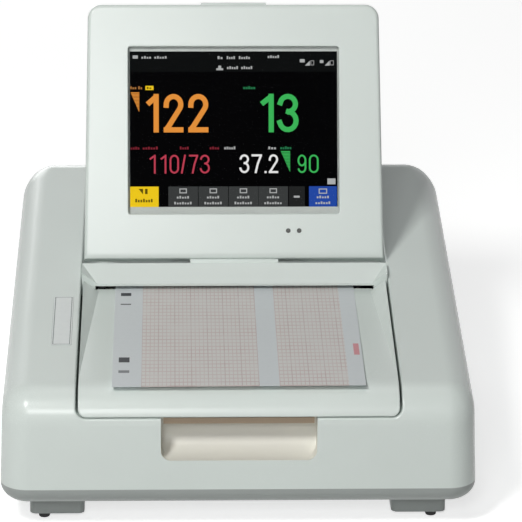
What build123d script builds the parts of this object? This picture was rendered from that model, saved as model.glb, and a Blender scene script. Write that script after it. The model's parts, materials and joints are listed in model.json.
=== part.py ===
from build123d import *
from math import acos, atan2, cos, degrees, pi, radians, sin, sqrt, tan
import os

# Desktop cardiotocograph: a casing with a fold-flat screen, a chart recorder and a paper drawer.
# Millimetres. +Z up, the front faces -Y, +X is the right-hand side as seen from the front.
# The origin is the middle of the base, on the surface that the feet stand on.

# Casing
casing_width = 286.0
casing_depth = 335.0
casing_wall = 3.0
seam_height = 28.5
shoulder_front_height = 88.2
shoulder_slope = 7.5
side_lean = 2.2
front_bend_radius = 22.0
rear_bend_radius = 24.0
side_edge_radius = 17.0
rear_corner_radius = 50.0
rear_corner_length = 38.0
post_radius = 5.0
post_joint_height = 40.0

# Clearances shared by all pieces
overrun = 4.0
seat_gap = 0.3
fit_gap = 0.02
pivot_gap = 0.05

# Base pan, its foot blocks and rubber feet
pan_bottom_height = 13.5
pan_edge_radius = 14.2
pan_wall = 2.8
foot_block_width = 33.0
foot_block_length = 40.0
foot_block_side_margin = 33.5
foot_block_setback = 21.5
foot_block_bottom_height = 5.0
foot_block_corner_radius = 4.0
foot_radius = 5.0
foot_seat_depth = 1.5
foot_side_margin = 27.2
foot_setback = 28.0
casing_screw_side_margin = 37.0
casing_screw_setback = 50.0
casing_screw_radius = 2.0
casing_screw_head_radius = 4.0
casing_screw_head_height = 2.6
casing_screw_grip = 12.0
casing_screw_counterbore_depth = 5.0
insert_spacing = 100.0
insert_radius = 3.5
insert_bore_radius = 1.65
insert_length = 8.0
insert_boss_radius = 6.5
grille_slot_width = 2.4
grille_slot_pitch = 6.0
grille_slot_count = 7

# Channel between the shoulders, and the well for the drawer
channel_half_width = 97.0
channel_wall = 2.5
channel_edge_radius = 1.2
well_floor_height = 73.8
well_floor_thickness = 2.2
well_corner_radius = 6.0
well_back_gap = 2.0

# Finger recess under the drawer front
recess_half_width = 46.5
recess_bottom_height = 47.3
recess_depth = 18.0
recess_corner_radius = 6.0
recess_scoop_radius = 15.0

# Paper drawer: cover, table, tray, rails
drawer_side_gap = 1.4
drawer_foot_height = 74.5
drawer_corner_radius = 5.0
drawer_wall = 2.5
drawer_edge_radius = 0.9
drawer_back_gap = 0.7
drawer_travel = 110.0
table_bend_setback = 22.1
table_slope = 4.14
table_half_width = 86.0
tongue_length = 3.3
tongue_thickness = 1.1
tongue_side_gap = 1.0
tray_half_width = 79.5
tray_wall = 2.0
tray_floor_thickness = 1.5
tray_front_setback = 26.5
tray_back_gap = 6.0
runner_half_width = 84.0
rail_base_thickness = 1.2
rail_web_thickness = 1.5
rail_lip_width = 4.2
rail_side_gap = 1.3
rail_lip_gap = 0.6
rail_front_setback = 17.5
rail_back_gap = 2.0

# Release lever in the finger recess
lever_half_width = 45.0
lever_pivot_setback = 21.5
lever_pivot_height = 80.0
lever_pin_radius = 1.5
lever_eye_radius = 3.2
lever_arm_x = 34.0
lever_arm_width = 4.0
lever_lug_width = 3.0
lever_paddle_length = 10.4
lever_paddle_thickness = 2.6
lever_paddle_gap = 2.0
lever_paddle_height = 70.6
lever_nose_radius = 1.2

# Paper
paper_width = 151.0
paper_thickness = 0.3
paper_overhang_setback = 8.5
pack_back_gap = 12.7
pack_height = 8.2
pack_fold_radius = 0.8

# Platen roller and its gear train
platen_setback = 7.5
platen_drop = 7.2
platen_radius = 7.2
platen_length = 152.0
platen_shaft_radius = 3.0
platen_shaft_right_x = 83.0
platen_ear_radius = 5.7
bush_radius = 4.4
bush_flange_radius = 5.2
bush_flange_thickness = 0.6
gear_module = 0.8
gear_width = 4.0
gear_outer_x = 86.0
gear_backlash = 0.12
gear_addendum_share = 0.85
gear_dedendum_share = 1.15
tooth_pitch_share = 0.84
tooth_tip_share = 0.46
tooth_root_share = 1.34
platen_tooth_count = 17
upper_idler_tooth_count = 13
lower_idler_tooth_count = 26
motor_tooth_count = 10
lower_idler_shift_y = 5.0
motor_shift_y = 9.0
gear_stud_radius = 2.0
gear_stud_cap_radius = 3.2
gear_stud_cap_thickness = 0.8
motor_radius = 17.5
motor_length = 22.0
motor_flange_thickness = 1.2
motor_flange_length = 50.0
motor_flange_width = 12.0
motor_shaft_radius = 1.5
motor_pilot_radius = 6.0

# Recorder frame and print head
frame_sheet = 1.6
frame_side_x = 79.0
frame_front_y = -4.4
frame_back_y = 40.0
frame_top_rise = 5.0
frame_shoulder_y = 10.0
frame_back_drop = 11.0
frame_web_y = 16.0
frame_web_rise = 1.0
frame_web_left_x = -52.0
head_half_width = 75.0
head_thickness = 4.6
head_bottom_drop = 8.5
head_top_rise = 5.2
head_bracket_thickness = 3.0
head_bracket_drop = 14.0
head_fin_count = 12
head_spring_x = 32.0
head_spring_radius = 3.2
head_spring_wire = 0.7
head_spring_turns = 5
head_spring_drop = 6.0

# Bridge between the paper slot and the screen
bridge_front_y = -20.0
bridge_back_y = -5.6
bridge_foot_back_y = -7.0
slot_rise = 3.2
bridge_lip_thickness = 1.4
bridge_top_rise = 13.3
bridge_lip_half_width = 87.0
bridge_bottom_drop = 3.2
bridge_skin = 2.2
bridge_side_gap = 0.3

# Trough and recess that the folded screen lies in
trough_floor_rise = 1.0
trough_back_y = 9.5
fold_floor_front_y = 43.5
fold_floor_drop = 11.8
fold_floor_thickness = 2.0
catch_pocket_half_width = 8.0
catch_pocket_margin = 4.0

# Screen. Its own frame: x to the right, y is the depth behind its face, z runs up its face
screen_foot_y = -2.0
screen_foot_rise = 13.2
screen_lean = 20.96
screen_foot_half_width = 95.6
screen_top_half_width = 92.8
screen_tall = 164.0
screen_foot_corner_radius = 2.6
screen_top_corner_radius = 9.0
screen_front_edge_radius = 2.4
screen_chin_radius = 8.0
screen_foot_back_radius = 0.8
screen_ramp_radius = 16.0
screen_crown_radius = 10.0
screen_top_back_radius = 3.0
screen_wall = 2.5
screen_split_depth = 12.0
screen_back_depth = 26.0
screen_foot_depth = 9.0
screen_ramp_low = 6.0
screen_ramp_high = 38.0
screen_crown_drop = 18.0
screen_crown_depth = 15.0
screen_back_taper = 14.0
screen_back_edge_radius = 5.0
window_half_width = 67.2
window_low = 30.2
window_top_margin = 27.0
window_corner_radius = 1.6
window_edge_radius = 0.8
active_half_width = 66.25
active_low = 34.8
active_top_margin = 2.8
touch_panel_margin = 3.0
touch_panel_thickness = 1.4
lcd_margin = 8.0
lcd_thickness = 8.0
lcd_lip = 0.6
lcd_cell_thickness = 1.0
screen_board_margin = 12.0
screen_board_thickness = 1.6
screen_board_gap = 2.6
lens_radius = 1.5
lens_left_x = 34.5
lens_spacing = 7.0
lens_high = 19.4
lens_length = 5.4
lens_proud = 0.2
screen_screw_x = 82.0
screen_screw_low = 52.0
screen_screw_top_margin = 24.0
screen_screw_radius = 1.5
screen_screw_head_radius = 2.9
screen_boss_radius = 4.2
vent_slot_count = 9
vent_slot_pitch = 7.0
vent_slot_width = 2.2
vent_slot_length = 26.0
vent_middle_drop = 52.0

# Screen hinge
hinge_drop = 5.0
hinge_depth = 3.5
barrel_radius = 4.5
barrel_half_length = 28.0
hinge_pin_radius = 1.6
hinge_block_gap = 0.8
hinge_block_width = 12.0
hinge_eye_radius = 3.6
hinge_block_base_half = 4.0
hinge_block_base_thickness = 1.6
arm_front_depth = 1.6
arm_back_depth = 6.6
arm_plate_thickness = 2.4
arm_plate_high = 26.4

# Screen release catch
catch_half_width = 21.0
catch_proud = 1.5
catch_front_depth = 3.6
catch_back_depth = 8.6
catch_height = 8.0
catch_edge_radius = 1.0
catch_travel = 2.0
catch_gap = 0.3
hook_half_width = 4.5
hook_drop = 12.0
hook_thickness = 2.6
hook_tip_depth = 29.6
hook_tip_length = 2.0
hook_tip_rise = 1.6
catch_spring_x = 14.0
catch_spring_radius = 1.8
catch_spring_wire = 0.5
catch_spring_turns = 4
catch_shelf_thickness = 1.6

# Connector bay in the rear wall
bay_half_width = 82.0
bay_bottom_height = 34.0
bay_top_height = 74.0
bay_depth = 10.0
bay_wall = 2.5
bay_corner_radius = 4.0
rear_panel_thickness = 2.5
inlet_x = -58.0
inlet_width = 27.6
inlet_height = 20.2
inlet_cavity_width = 24.2
inlet_cavity_height = 16.6
inlet_depth = 20.0
inlet_proud = 1.5
inlet_blade_thickness = 2.0
inlet_blade_height = 4.0
inlet_blade_length = 7.0
inlet_blade_spacing = 7.0
inlet_flange_margin = 5.0
inlet_flange_thickness = 1.5
button_x = -26.0
button_radius = 6.0
button_length = 8.0
button_proud = 2.8
button_travel = 1.5
button_gap = 0.3
button_collar_thickness = 1.6
button_collar_proud = 1.0
network_x = 12.0
network_spacing = 24.0
network_width = 16.0
network_height = 13.6
network_cavity_width = 11.8
network_cavity_height = 8.2
network_depth = 14.0
network_proud = 1.0
post_x = 66.0
earth_post_radius = 3.0
earth_post_length = 9.0
earth_nut_radius = 5.5
earth_nut_thickness = 2.5
connector_height = 54.0

# Socket panels in the side walls. Their own frame: x outwards from the wall, z up the wall
side_panel_length = 112.0
side_panel_height = 34.0
side_panel_thickness = 2.5
side_panel_lap = 4.0
side_panel_middle_y = 15.0
side_panel_middle_up = 28.0
side_panel_corner_radius = 5.0
socket_count = 4
socket_spacing = 26.0
socket_width = 17.6
socket_height = 12.6
socket_corner_radius = 3.0
socket_wall = 1.7
socket_depth = 15.0
socket_cavity_depth = 12.0
socket_flange_margin = 3.0
socket_flange_thickness = 2.0
socket_hole_gap = 0.2
socket_pin_side = 0.8
socket_pin_length = 3.0
socket_pin_pitch = 2.6
socket_pin_columns = 4
socket_pin_rows = 2
cuff_socket_radius = 7.6
cuff_bore_radius = 4.5
cuff_bore_depth = 12.0
cuff_socket_y = -14.0
oximetry_socket_y = 34.0
side_board_thickness = 1.6
side_board_length = 120.0
side_board_height = 50.0
side_board_chip_length = 18.0
side_board_chip_thickness = 3.0

# Chassis and electronics
chassis_sheet = 1.5
chassis_height = 24.0
chassis_side_margin = 21.0
chassis_end_margin = 21.5
chassis_flange = 6.0
chassis_boss_radius = 5.0
chassis_boss_side_margin = 55.0
chassis_boss_setback = 72.0
chassis_hole_gap = 1.5
board_height = 32.0
board_thickness = 1.6
board_spacer_radius = 3.0
board_supply_gap = 6.0
board_side_margin = 26.0
board_front_y = 50.0
board_back_setback = 19.5
board_margin = 8.0
chip_length = 22.0
chip_thickness = 3.2
supply_side_margin = 24.0
supply_width = 78.0
supply_front_y = 56.0
supply_inlet_gap = 5.0
supply_height = 38.0
supply_slot_count = 8
supply_slot_pitch = 8.0
supply_slot_width = 3.0
supply_slot_height = 22.0
supply_wall = 1.2
speaker_setback = 75.5
speaker_radius = 28.5
speaker_rim_thickness = 2.0
speaker_cone_depth = 9.0
speaker_magnet_radius = 14.0
speaker_magnet_height = 9.0
pump_side_margin = 30.0
pump_y = -84.0
pump_radius = 13.5
pump_length = 46.0
pump_head_length = 24.0
pump_saddle_height = 6.0

# Name plate blank on the left shoulder
plate_place_share = 0.22
plate_front_y = -104.5
plate_back_y = -42.5
plate_width = 12.4
plate_thickness = 0.9
plate_seat_depth = 0.6
plate_corner_radius = 1.0

front_y = -casing_depth / 2
back_y = casing_depth / 2
side_x = casing_width / 2
slope_rise = tan(radians(shoulder_slope))
table_rise = tan(radians(table_slope))


def shoulder_height(y):
    """Height of the shoulder's sloping top, y from the middle of the casing."""
    return shoulder_front_height + (y - front_y) * slope_rise


def table_height(y):
    """Height of the flat table that the chart paper lies on."""
    bend = front_y + table_bend_setback
    return shoulder_height(bend) + (y - bend) * table_rise


# Places that follow from the casing's sides
foot_block_middle_x = side_x - foot_block_side_margin
foot_middle_x = side_x - foot_side_margin
casing_screw_x = side_x - casing_screw_side_margin
chassis_half_width = side_x - chassis_side_margin
chassis_boss_x = side_x - chassis_boss_side_margin
drawer_half_width = channel_half_width - drawer_side_gap
plate_middle_x = -channel_half_width - (side_x - channel_half_width) * plate_place_share
supply_left_x = -chassis_half_width + supply_side_margin
board_left_x = supply_left_x + supply_width + board_supply_gap
board_width = chassis_half_width - board_side_margin - board_left_x
pump_x = -chassis_half_width + pump_side_margin

# Places that follow from its front, its back and the slot
bend_y = front_y + table_bend_setback
tray_front_y = front_y + tray_front_setback
rail_front_y = front_y + rail_front_setback
lever_pivot_y = front_y + lever_pivot_setback
tray_back_y = bridge_front_y - tray_back_gap
rail_back_y = bridge_front_y - rail_back_gap
well_back_y = bridge_front_y + well_back_gap
platen_y = bridge_front_y + platen_setback
cover_back_y = bridge_front_y - drawer_back_gap
pack_front_y = tray_front_y + tray_wall + seat_gap
pack_length = tray_back_y - pack_back_gap - pack_front_y
speaker_y = front_y + speaker_setback
chassis_half_length = back_y - chassis_end_margin
board_length = back_y - board_back_setback - board_front_y
supply_length = back_y - bay_depth + inlet_proud - inlet_depth - supply_inlet_gap - supply_front_y

# Heights that follow from the table and the chassis
chassis_top = chassis_height + chassis_sheet
slot_table_height = table_height(bridge_front_y)
platen_height = slot_table_height - platen_drop
bridge_slot_height = slot_table_height + slot_rise
bridge_lip_height = bridge_slot_height + bridge_lip_thickness
bridge_top_height = slot_table_height + bridge_top_rise
bridge_bottom_height = slot_table_height - bridge_bottom_drop
trough_floor_height = slot_table_height + trough_floor_rise
fold_floor_front_height = trough_floor_height - fold_floor_drop
screen_foot_height = slot_table_height + screen_foot_rise

# Heights on the screen that follow from its top edge
window_high = screen_tall - window_top_margin
active_high = window_high - active_top_margin
screen_crown_low = screen_tall - screen_crown_drop
screen_screw_high = screen_tall - screen_screw_top_margin
vent_middle_high = screen_tall - vent_middle_drop
hook_low = screen_tall - hook_drop
hook_high = hook_low + hook_thickness


def block(low, high):
    """Rectangular block from its lowest to its highest corner."""
    size = [b - a for a, b in zip(low, high)]
    middle = [(a + b) / 2 for a, b in zip(low, high)]
    return Pos(*middle) * Box(*size)


def side_prism(corners, radii, left, right):
    """Rounded outline of (y, z) corners, carried from x = left to x = right."""
    outline = make_face(Plane.YZ * FilletPolyline(*corners, radius=radii, close=True))
    return Pos(left, 0, 0) * extrude(outline, amount=right - left)


def front_prism(corners, radii, front, back):
    """Rounded outline of (x, z) corners, carried from y = front to y = back."""
    outline = make_face(Plane.XZ * FilletPolyline(*corners, radius=radii, close=True))
    return Pos(0, back, 0) * extrude(outline, amount=back - front)


def rod_x(radius, left, right, y, z):
    """Round rod along X."""
    return Pos((left + right) / 2, y, z) * Rot(0, 90, 0) * Cylinder(radius, right - left)


def rod_y(radius, front, back, x, z):
    """Round rod along Y."""
    return Pos(x, (front + back) / 2, z) * Rot(90, 0, 0) * Cylinder(radius, back - front)


def rod_z(radius, low, high, x, y):
    """Round rod along Z."""
    return Pos(x, y, (low + high) / 2) * Cylinder(radius, high - low)


def coil(radius, wire, turns, length):
    """Compression spring standing on the origin along +Z, its wire as one unbroken tube."""
    pitch = (length - wire) / turns
    path = Helix(pitch=pitch, height=length - wire, radius=radius)
    ring = Plane(origin=path @ 0, z_dir=path % 0) * Circle(wire / 2)
    return Pos(0, 0, wire / 2) * sweep(ring, path=path)


def mirrored(shape):
    """The same shape on the other side of the middle plane."""
    return shape.mirror(Plane.YZ)


# Casing


def corner_cutter(inset):
    """What the long curve of a rear corner takes off, in the frame of the right-hand wall."""
    start = back_y - rear_corner_length
    radius = rear_corner_radius - inset
    stock = block(
        (-rear_corner_radius, start, -casing_depth),
        (overrun, back_y + overrun, casing_depth),
    )
    return stock - rod_z(radius, -casing_width, casing_width, -rear_corner_radius, start)


def casing_block(inset, low):
    """The casing's outer form from the height low up, with every face moved inwards by inset."""
    front = front_y + inset
    back = back_y - inset
    drop = inset / cos(radians(shoulder_slope))
    corners = [
        (front, low),
        (back, low),
        (back, shoulder_height(back) - drop),
        (front, shoulder_height(front) - drop),
    ]
    radii = [0, 0, rear_bend_radius - inset, front_bend_radius - inset]
    form = side_prism(corners, radii, -casing_width, casing_width)
    lean = radians(side_lean)
    for side in (1, -1):
        outwards = (side * cos(lean), 0, sin(lean))
        on_wall = (side * (side_x - inset * cos(lean)), 0, seam_height - inset * sin(lean))
        form = split(form, bisect_by=Plane(on_wall, z_dir=outwards), keep=Keep.BOTTOM)
    form -= on_both_walls(corner_cutter(inset))
    flanks = [form.faces().sort_by(Axis.X)[0], form.faces().sort_by(Axis.X)[-1]]
    rim = [
        e
        for flank in flanks
        for e in flank.edges()
        if e.bounding_box().max.Z > low + overrun and (e @ (1 / 2)).Y < back_y - rear_corner_length - fit_gap
    ]
    return fillet(rim, side_edge_radius - inset)


def wedge_loft(section_back, section_front):
    """Solid between two sections, each given as (y, half width at the foot, foot height, side rise)."""
    sections = []
    for y, half_width, foot, rise in (section_back, section_front):
        top = casing_depth
        spread = half_width + (top - foot) / rise
        corners = [(-half_width, foot), (half_width, foot), (spread, top), (-spread, top)]
        sections.append(Pos(0, y, 0) * make_face(Plane.XZ * Polyline(*corners, close=True)))
    return loft([section.faces()[0] for section in sections], ruled=True)


def table_cutter(outset):
    """Space above the paper table and between its sloping sides, grown by outset."""
    rise = (shoulder_height(bridge_front_y) - table_height(bridge_front_y)) / (
        drawer_half_width - table_half_width
    )
    drop = outset / cos(radians(table_slope))
    grow = outset * tan(atan2(rise, 1) / 2)
    narrowing = (drawer_half_width - table_half_width) / (bridge_front_y - bend_y)

    def section(y):
        half_width = drawer_half_width + grow - (y - bend_y) * narrowing
        return (y, half_width, table_height(y) - drop, rise)

    return wedge_loft(section(bridge_front_y + overrun), section(bend_y - overrun))


def well_form(outset, front, back):
    """The drawer's well: the channel's width, a floor with rounded corners, open at the top."""
    half = channel_half_width + outset
    floor = well_floor_height - (well_floor_thickness if outset else 0)
    radius = well_corner_radius + outset
    corners = [(-half, casing_depth), (-half, floor), (half, floor), (half, casing_depth)]
    return front_prism(corners, [0, radius, radius, 0], front, back)


def folded_hook_reach():
    """Front and back of the catch's hook when the screen lies in its recess."""
    y, z = hinge_centre()
    slope = radians(shoulder_slope)
    drop = (hook_tip_depth - hinge_depth) * sin(slope)
    return [y + (high + hinge_drop) * cos(slope) + drop for high in (hook_low, hook_high)]


def fold_form(outset):
    """The trough under the hinge and the sloping recess that the folded screen lies in."""
    drop = fold_floor_thickness if outset else 0
    rear = back_y + overrun
    rear_height = fold_floor_front_height + (rear - fold_floor_front_y) * slope_rise
    corners = [
        (bridge_foot_back_y, trough_floor_height - drop),
        (trough_back_y, trough_floor_height - drop),
        (fold_floor_front_y, fold_floor_front_height - drop),
        (rear, rear_height - drop),
        (rear, casing_depth),
        (bridge_foot_back_y, casing_depth),
    ]
    radii = [0, overrun, overrun, 0, 0, 0]
    half = channel_half_width + outset
    return side_prism(corners, radii, -half, half)


def finger_form(outset):
    """The finger recess under the drawer front, with its scooped floor."""
    half = recess_half_width + outset
    low = recess_bottom_height - outset
    back = front_y + recess_depth + outset
    high = well_floor_height + overrun
    radius = recess_corner_radius + outset
    face = front_prism(
        [(-half, high), (-half, low), (half, low), (half, high)],
        [0, radius, radius, 0],
        front_y - overrun,
        back,
    )
    scoop = side_prism(
        [(front_y - overrun, low), (back, low), (back, high), (front_y - overrun, high)],
        [0, recess_scoop_radius, 0, 0],
        -half,
        half,
    )
    return face & scoop


def bay_form(outset, front, back):
    """The connector bay in the rear wall."""
    half = bay_half_width + outset
    low = bay_bottom_height - outset
    high = bay_top_height + outset
    corners = [(-half, low), (half, low), (half, high), (-half, high)]
    return front_prism(corners, bay_corner_radius + outset, front, back)


def side_place(side):
    """Frame of a side wall: x outwards from its outer face, z up the wall, y as in the casing."""
    return Location((side * side_x, 0, seam_height), (0, -side * side_lean, 0))


def panel_window(outset, inner, outer):
    """Window of a socket panel, in the frame of the right-hand wall."""
    half_length = side_panel_length / 2 + outset
    half_height = side_panel_height / 2 + outset
    corners = [
        (side_panel_middle_y - half_length, side_panel_middle_up - half_height),
        (side_panel_middle_y + half_length, side_panel_middle_up - half_height),
        (side_panel_middle_y + half_length, side_panel_middle_up + half_height),
        (side_panel_middle_y - half_length, side_panel_middle_up + half_height),
    ]
    return side_prism(corners, side_panel_corner_radius, inner, outer)


def on_both_walls(shape):
    """A shape in the right-hand wall's frame, placed there and mirrored to the other wall."""
    right = side_place(1) * shape
    return right + mirrored(right)


def screw_places():
    """Centres of the four posts and screws that hold the casing and the base pan together."""
    reach = back_y - casing_screw_setback
    return [(x, y) for x in (-casing_screw_x, casing_screw_x) for y in (-reach, reach)]


def plate_form(low, high, shrink):
    """Rounded strip on the left shoulder, from low to high above the shoulder's surface."""
    middle_y = (plate_front_y + plate_back_y) / 2
    place = Location((plate_middle_x, middle_y, shoulder_height(middle_y)), (shoulder_slope, 0, 0))
    length = (plate_back_y - plate_front_y) / cos(radians(shoulder_slope))
    strip = RectangleRounded(plate_width - shrink, length - shrink, plate_corner_radius)
    return place * Pos(0, 0, low) * extrude(strip, amount=high - low)


def channel_rim(shell):
    """Edges where the channel breaks the casing's outside, along the shoulders and the front."""
    rim = []
    for edge in shell.edges():
        middle = edge @ (1 / 2)
        on_side = abs(abs(middle.X) - channel_half_width) < fit_gap
        on_top = abs(middle.Z - shoulder_height(middle.Y)) < fit_gap and middle.Y > bend_y
        in_front = middle.Y < bend_y and middle.Z > well_floor_height - fit_gap
        if in_front and abs(middle.X) < channel_half_width + fit_gap:
            rim.append(edge)
        elif on_side and on_top:
            rim.append(edge)
    return rim


def top_housing():
    """Upper casing: two shoulders with a channel between them for the drawer and the screen."""
    outside = casing_block(0, seam_height)
    shell = outside - well_form(0, front_y - overrun, bridge_foot_back_y) - fold_form(0)
    shell = fillet(channel_rim(shell), channel_edge_radius)
    inside = casing_block(casing_wall, seam_height - overrun)
    inside -= well_form(channel_wall, front_y - overrun, bridge_foot_back_y)
    inside -= fold_form(channel_wall)
    inside -= finger_form(channel_wall)
    inside -= bay_form(bay_wall, back_y - bay_depth, back_y + overrun)
    for x, y in screw_places():
        inside -= rod_z(post_radius, post_joint_height, casing_depth, x, y)
    shell -= inside
    shell -= block(
        (-channel_half_width, well_back_y, seam_height),
        (channel_half_width, bridge_foot_back_y + overrun, well_floor_height + overrun),
    )
    shell -= finger_form(0)
    shell -= bay_form(0, back_y - bay_depth - overrun, back_y + overrun)
    shell -= on_both_walls(panel_window(0, -casing_wall - overrun, overrun))
    pocket_front, pocket_back = folded_hook_reach()
    shell -= block(
        (-catch_pocket_half_width, pocket_front - catch_pocket_margin, fold_floor_front_height),
        (catch_pocket_half_width, pocket_back + catch_pocket_margin, casing_depth),
    )
    shell -= plate_form(-plate_seat_depth, overrun, 0)
    for x, y in screw_places():
        grip = post_joint_height + casing_screw_grip
        shell -= rod_z(casing_screw_radius + fit_gap, post_joint_height - overrun, grip, x, y)
    return shell


def casing_plan(inset):
    """Outline of the casing at its seam, with longer curves at the two rear corners."""
    plan = Rectangle(casing_width - 2 * inset, casing_depth - 2 * inset)
    start = back_y - rear_corner_length
    for side in (-1, 1):
        middle_x = side * (side_x - rear_corner_radius)
        stock = Rectangle(2 * rear_corner_radius, 2 * rear_corner_radius)
        keep = Pos(middle_x, start) * Circle(rear_corner_radius - inset)
        corner = Pos(middle_x + side * rear_corner_radius, start + rear_corner_radius) * stock
        plan -= corner - keep
    sharp = [v for v in plan.vertices() if abs(abs(v.Y) - (back_y - inset)) < fit_gap]
    return fillet(sharp, side_edge_radius - inset)


def pan_block(inset, low, high):
    """The base pan's outer form with its rounded lower edge, every face moved inwards by inset."""
    body = Pos(0, 0, low) * extrude(casing_plan(inset), amount=high - low)
    return fillet(body.faces().sort_by(Axis.Z)[0].edges(), pan_edge_radius - inset)


def foot_places(middle_x, setback):
    """Mirrored places of something that each of the four corners has."""
    reach = back_y - setback
    return [(x, y) for x in (-middle_x, middle_x) for y in (-reach, reach)]


def base_pan():
    """Lower casing with four foot blocks, screw posts, chassis bosses and a speaker grille."""
    floor_top = pan_bottom_height + pan_wall
    pan = pan_block(0, pan_bottom_height, seam_height)
    plan = RectangleRounded(foot_block_width, foot_block_length, foot_block_corner_radius)
    setback = foot_block_setback + foot_block_length / 2
    for x, y in foot_places(foot_block_middle_x, setback):
        height = floor_top - foot_block_bottom_height
        pan += Pos(x, y, foot_block_bottom_height) * extrude(plan, amount=height)
    pan -= pan_block(pan_wall, floor_top, seam_height + overrun)
    for x, y in screw_places():
        pan += rod_z(post_radius, pan_bottom_height, post_joint_height, x, y)
        pan -= rod_z(
            casing_screw_radius + fit_gap,
            pan_bottom_height - overrun,
            post_joint_height + overrun,
            x,
            y,
        )
        counterbore_top = foot_block_bottom_height + casing_screw_counterbore_depth
        bore = casing_screw_head_radius + seat_gap
        pan -= rod_z(bore, foot_block_bottom_height - overrun, counterbore_top, x, y)
    for x, y in foot_places(foot_middle_x, foot_setback):
        seat_top = foot_block_bottom_height + foot_seat_depth
        pan -= rod_z(foot_radius + fit_gap, foot_block_bottom_height - overrun, seat_top, x, y)
    for x, y in foot_places(chassis_boss_x, chassis_boss_setback):
        pan += rod_z(chassis_boss_radius, pan_bottom_height + fit_gap, chassis_height, x, y)
    for x, y in insert_places():
        pan += rod_z(insert_boss_radius, pan_bottom_height, chassis_height, x, y)
        top = pan_bottom_height + insert_length
        pan -= rod_z(insert_radius + fit_gap, pan_bottom_height - overrun, top, x, y)
    for i in range(grille_slot_count):
        offset = (i - (grille_slot_count - 1) / 2) * grille_slot_pitch
        reach = speaker_radius - speaker_rim_thickness - abs(offset) / 2
        slot = SlotOverall(2 * reach, grille_slot_width, rotation=90)
        cut = extrude(slot, amount=pan_wall + overrun)
        pan -= Pos(offset, speaker_y, pan_bottom_height - overrun / 2) * cut
    return pan


def insert_places():
    """Corners of the square pattern for a stand plate."""
    reach = insert_spacing / 2
    return [(x, y) for x in (-reach, reach) for y in (-reach, reach)]


def stand_inserts():
    """Threaded brass inserts in the underside, their threads drawn as plain bores."""
    inserts = []
    for x, y in insert_places():
        top = pan_bottom_height + insert_length
        sleeve = rod_z(insert_radius, pan_bottom_height, top, x, y)
        bore_low = pan_bottom_height - overrun
        inserts.append(sleeve - rod_z(insert_bore_radius, bore_low, top + overrun, x, y))
    return Compound(children=inserts)


def rubber_feet():
    """Four rubber feet pressed into the foot blocks."""
    feet = []
    for x, y in foot_places(foot_middle_x, foot_setback):
        top = foot_block_bottom_height + foot_seat_depth
        foot = rod_z(foot_radius, 0, top, x, y)
        rim = foot.faces().sort_by(Axis.Z)[0].edges()
        feet.append(fillet(rim, foot_radius / 5))
    return Compound(children=feet)


def casing_screws():
    """Four screws from the foot blocks up into the casing's posts."""
    screws = []
    for x, y in screw_places():
        head_top = foot_block_bottom_height + casing_screw_counterbore_depth
        head_low = head_top - casing_screw_head_height
        screw = rod_z(casing_screw_head_radius, head_low, head_top, x, y)
        tip = post_joint_height + casing_screw_grip - seat_gap
        screw += rod_z(casing_screw_radius, head_top, tip, x, y)
        screws.append(screw)
    return Compound(children=screws)


def name_plate():
    """Bare strip set into the left shoulder."""
    return plate_form(-plate_seat_depth, plate_thickness - plate_seat_depth, seat_gap)


# Bridge


def bridge_slope_height(y):
    """Height of the bridge's sloping face."""
    rise = (bridge_top_height - bridge_lip_height) / (bridge_back_y - bridge_front_y)
    return bridge_lip_height + (y - bridge_front_y) * rise


def bridge_under_half():
    """Half the width of the space under the bridge, which the slot opens into."""
    return bridge_lip_half_width + bridge_skin / 2


def slot_bridge():
    """Sloping cover between the paper slot and the screen, with its dished ends."""
    half = channel_half_width - bridge_side_gap
    rise = (shoulder_height(bridge_front_y) - table_height(bridge_front_y)) / (
        drawer_half_width - table_half_width
    )
    spread = (half - bridge_lip_half_width) / (bridge_back_y - bridge_front_y)

    def section(y):
        half_width = bridge_lip_half_width + (y - bridge_front_y) * spread
        return (y, half_width, bridge_slope_height(y), rise)

    body = block(
        (-half, bridge_front_y, bridge_bottom_height), (half, bridge_back_y, bridge_top_height)
    )
    body -= wedge_loft(section(bridge_back_y + overrun), section(bridge_front_y - overrun))
    under_half = bridge_under_half()
    under = [
        (bridge_front_y - overrun, bridge_bottom_height - overrun),
        (bridge_foot_back_y, bridge_bottom_height - overrun),
        (bridge_foot_back_y, bridge_slope_height(bridge_foot_back_y) - 2 * bridge_skin),
        (bridge_front_y + bridge_skin, bridge_slot_height),
        (bridge_front_y - overrun, bridge_slot_height),
    ]
    body -= side_prism(under, 0, -under_half, under_half)
    body -= block(
        (-channel_half_width, bridge_foot_back_y, bridge_bottom_height - overrun),
        (channel_half_width, bridge_back_y + overrun, trough_floor_height),
    )
    return body


# Paper drawer


def drawer_window(inset, back):
    """Front outline of the drawer cover, with its rounded lower corners."""
    half = drawer_half_width - inset
    low = drawer_foot_height - (overrun if inset else 0)
    corners = [(-half, casing_depth), (-half, low), (half, low), (half, casing_depth)]
    radii = [0, drawer_corner_radius, drawer_corner_radius, 0]
    return front_prism(corners, radii, front_y - overrun, back)


def drawer_cover():
    """Drawer front and paper table in one shell, cut from the casing's own outer form."""
    back = cover_back_y
    outside = casing_block(0, seam_height) & drawer_window(0, back)
    sides = [outside.faces().sort_by(Axis.X)[0], outside.faces().sort_by(Axis.X)[-1]]
    rim = [e for face in sides for e in face.edges() if (e @ (1 / 2)).Y < back - fit_gap]
    outside = fillet(rim, drawer_edge_radius)
    inside = casing_block(drawer_wall, seam_height) & drawer_window(drawer_wall, back + overrun)
    inside -= table_cutter(drawer_wall)
    tongue_back = back + tongue_length
    tongue = [
        (back - drawer_wall / 2, table_height(back - drawer_wall / 2)),
        (back - drawer_wall / 2, table_height(back) - tongue_thickness),
        (tongue_back, table_height(tongue_back) - tongue_thickness),
        (tongue_back, table_height(tongue_back)),
    ]
    half = bridge_under_half() - tongue_side_gap
    return outside - table_cutter(0) - inside + side_prism(tongue, 0, -half, half)


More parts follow.
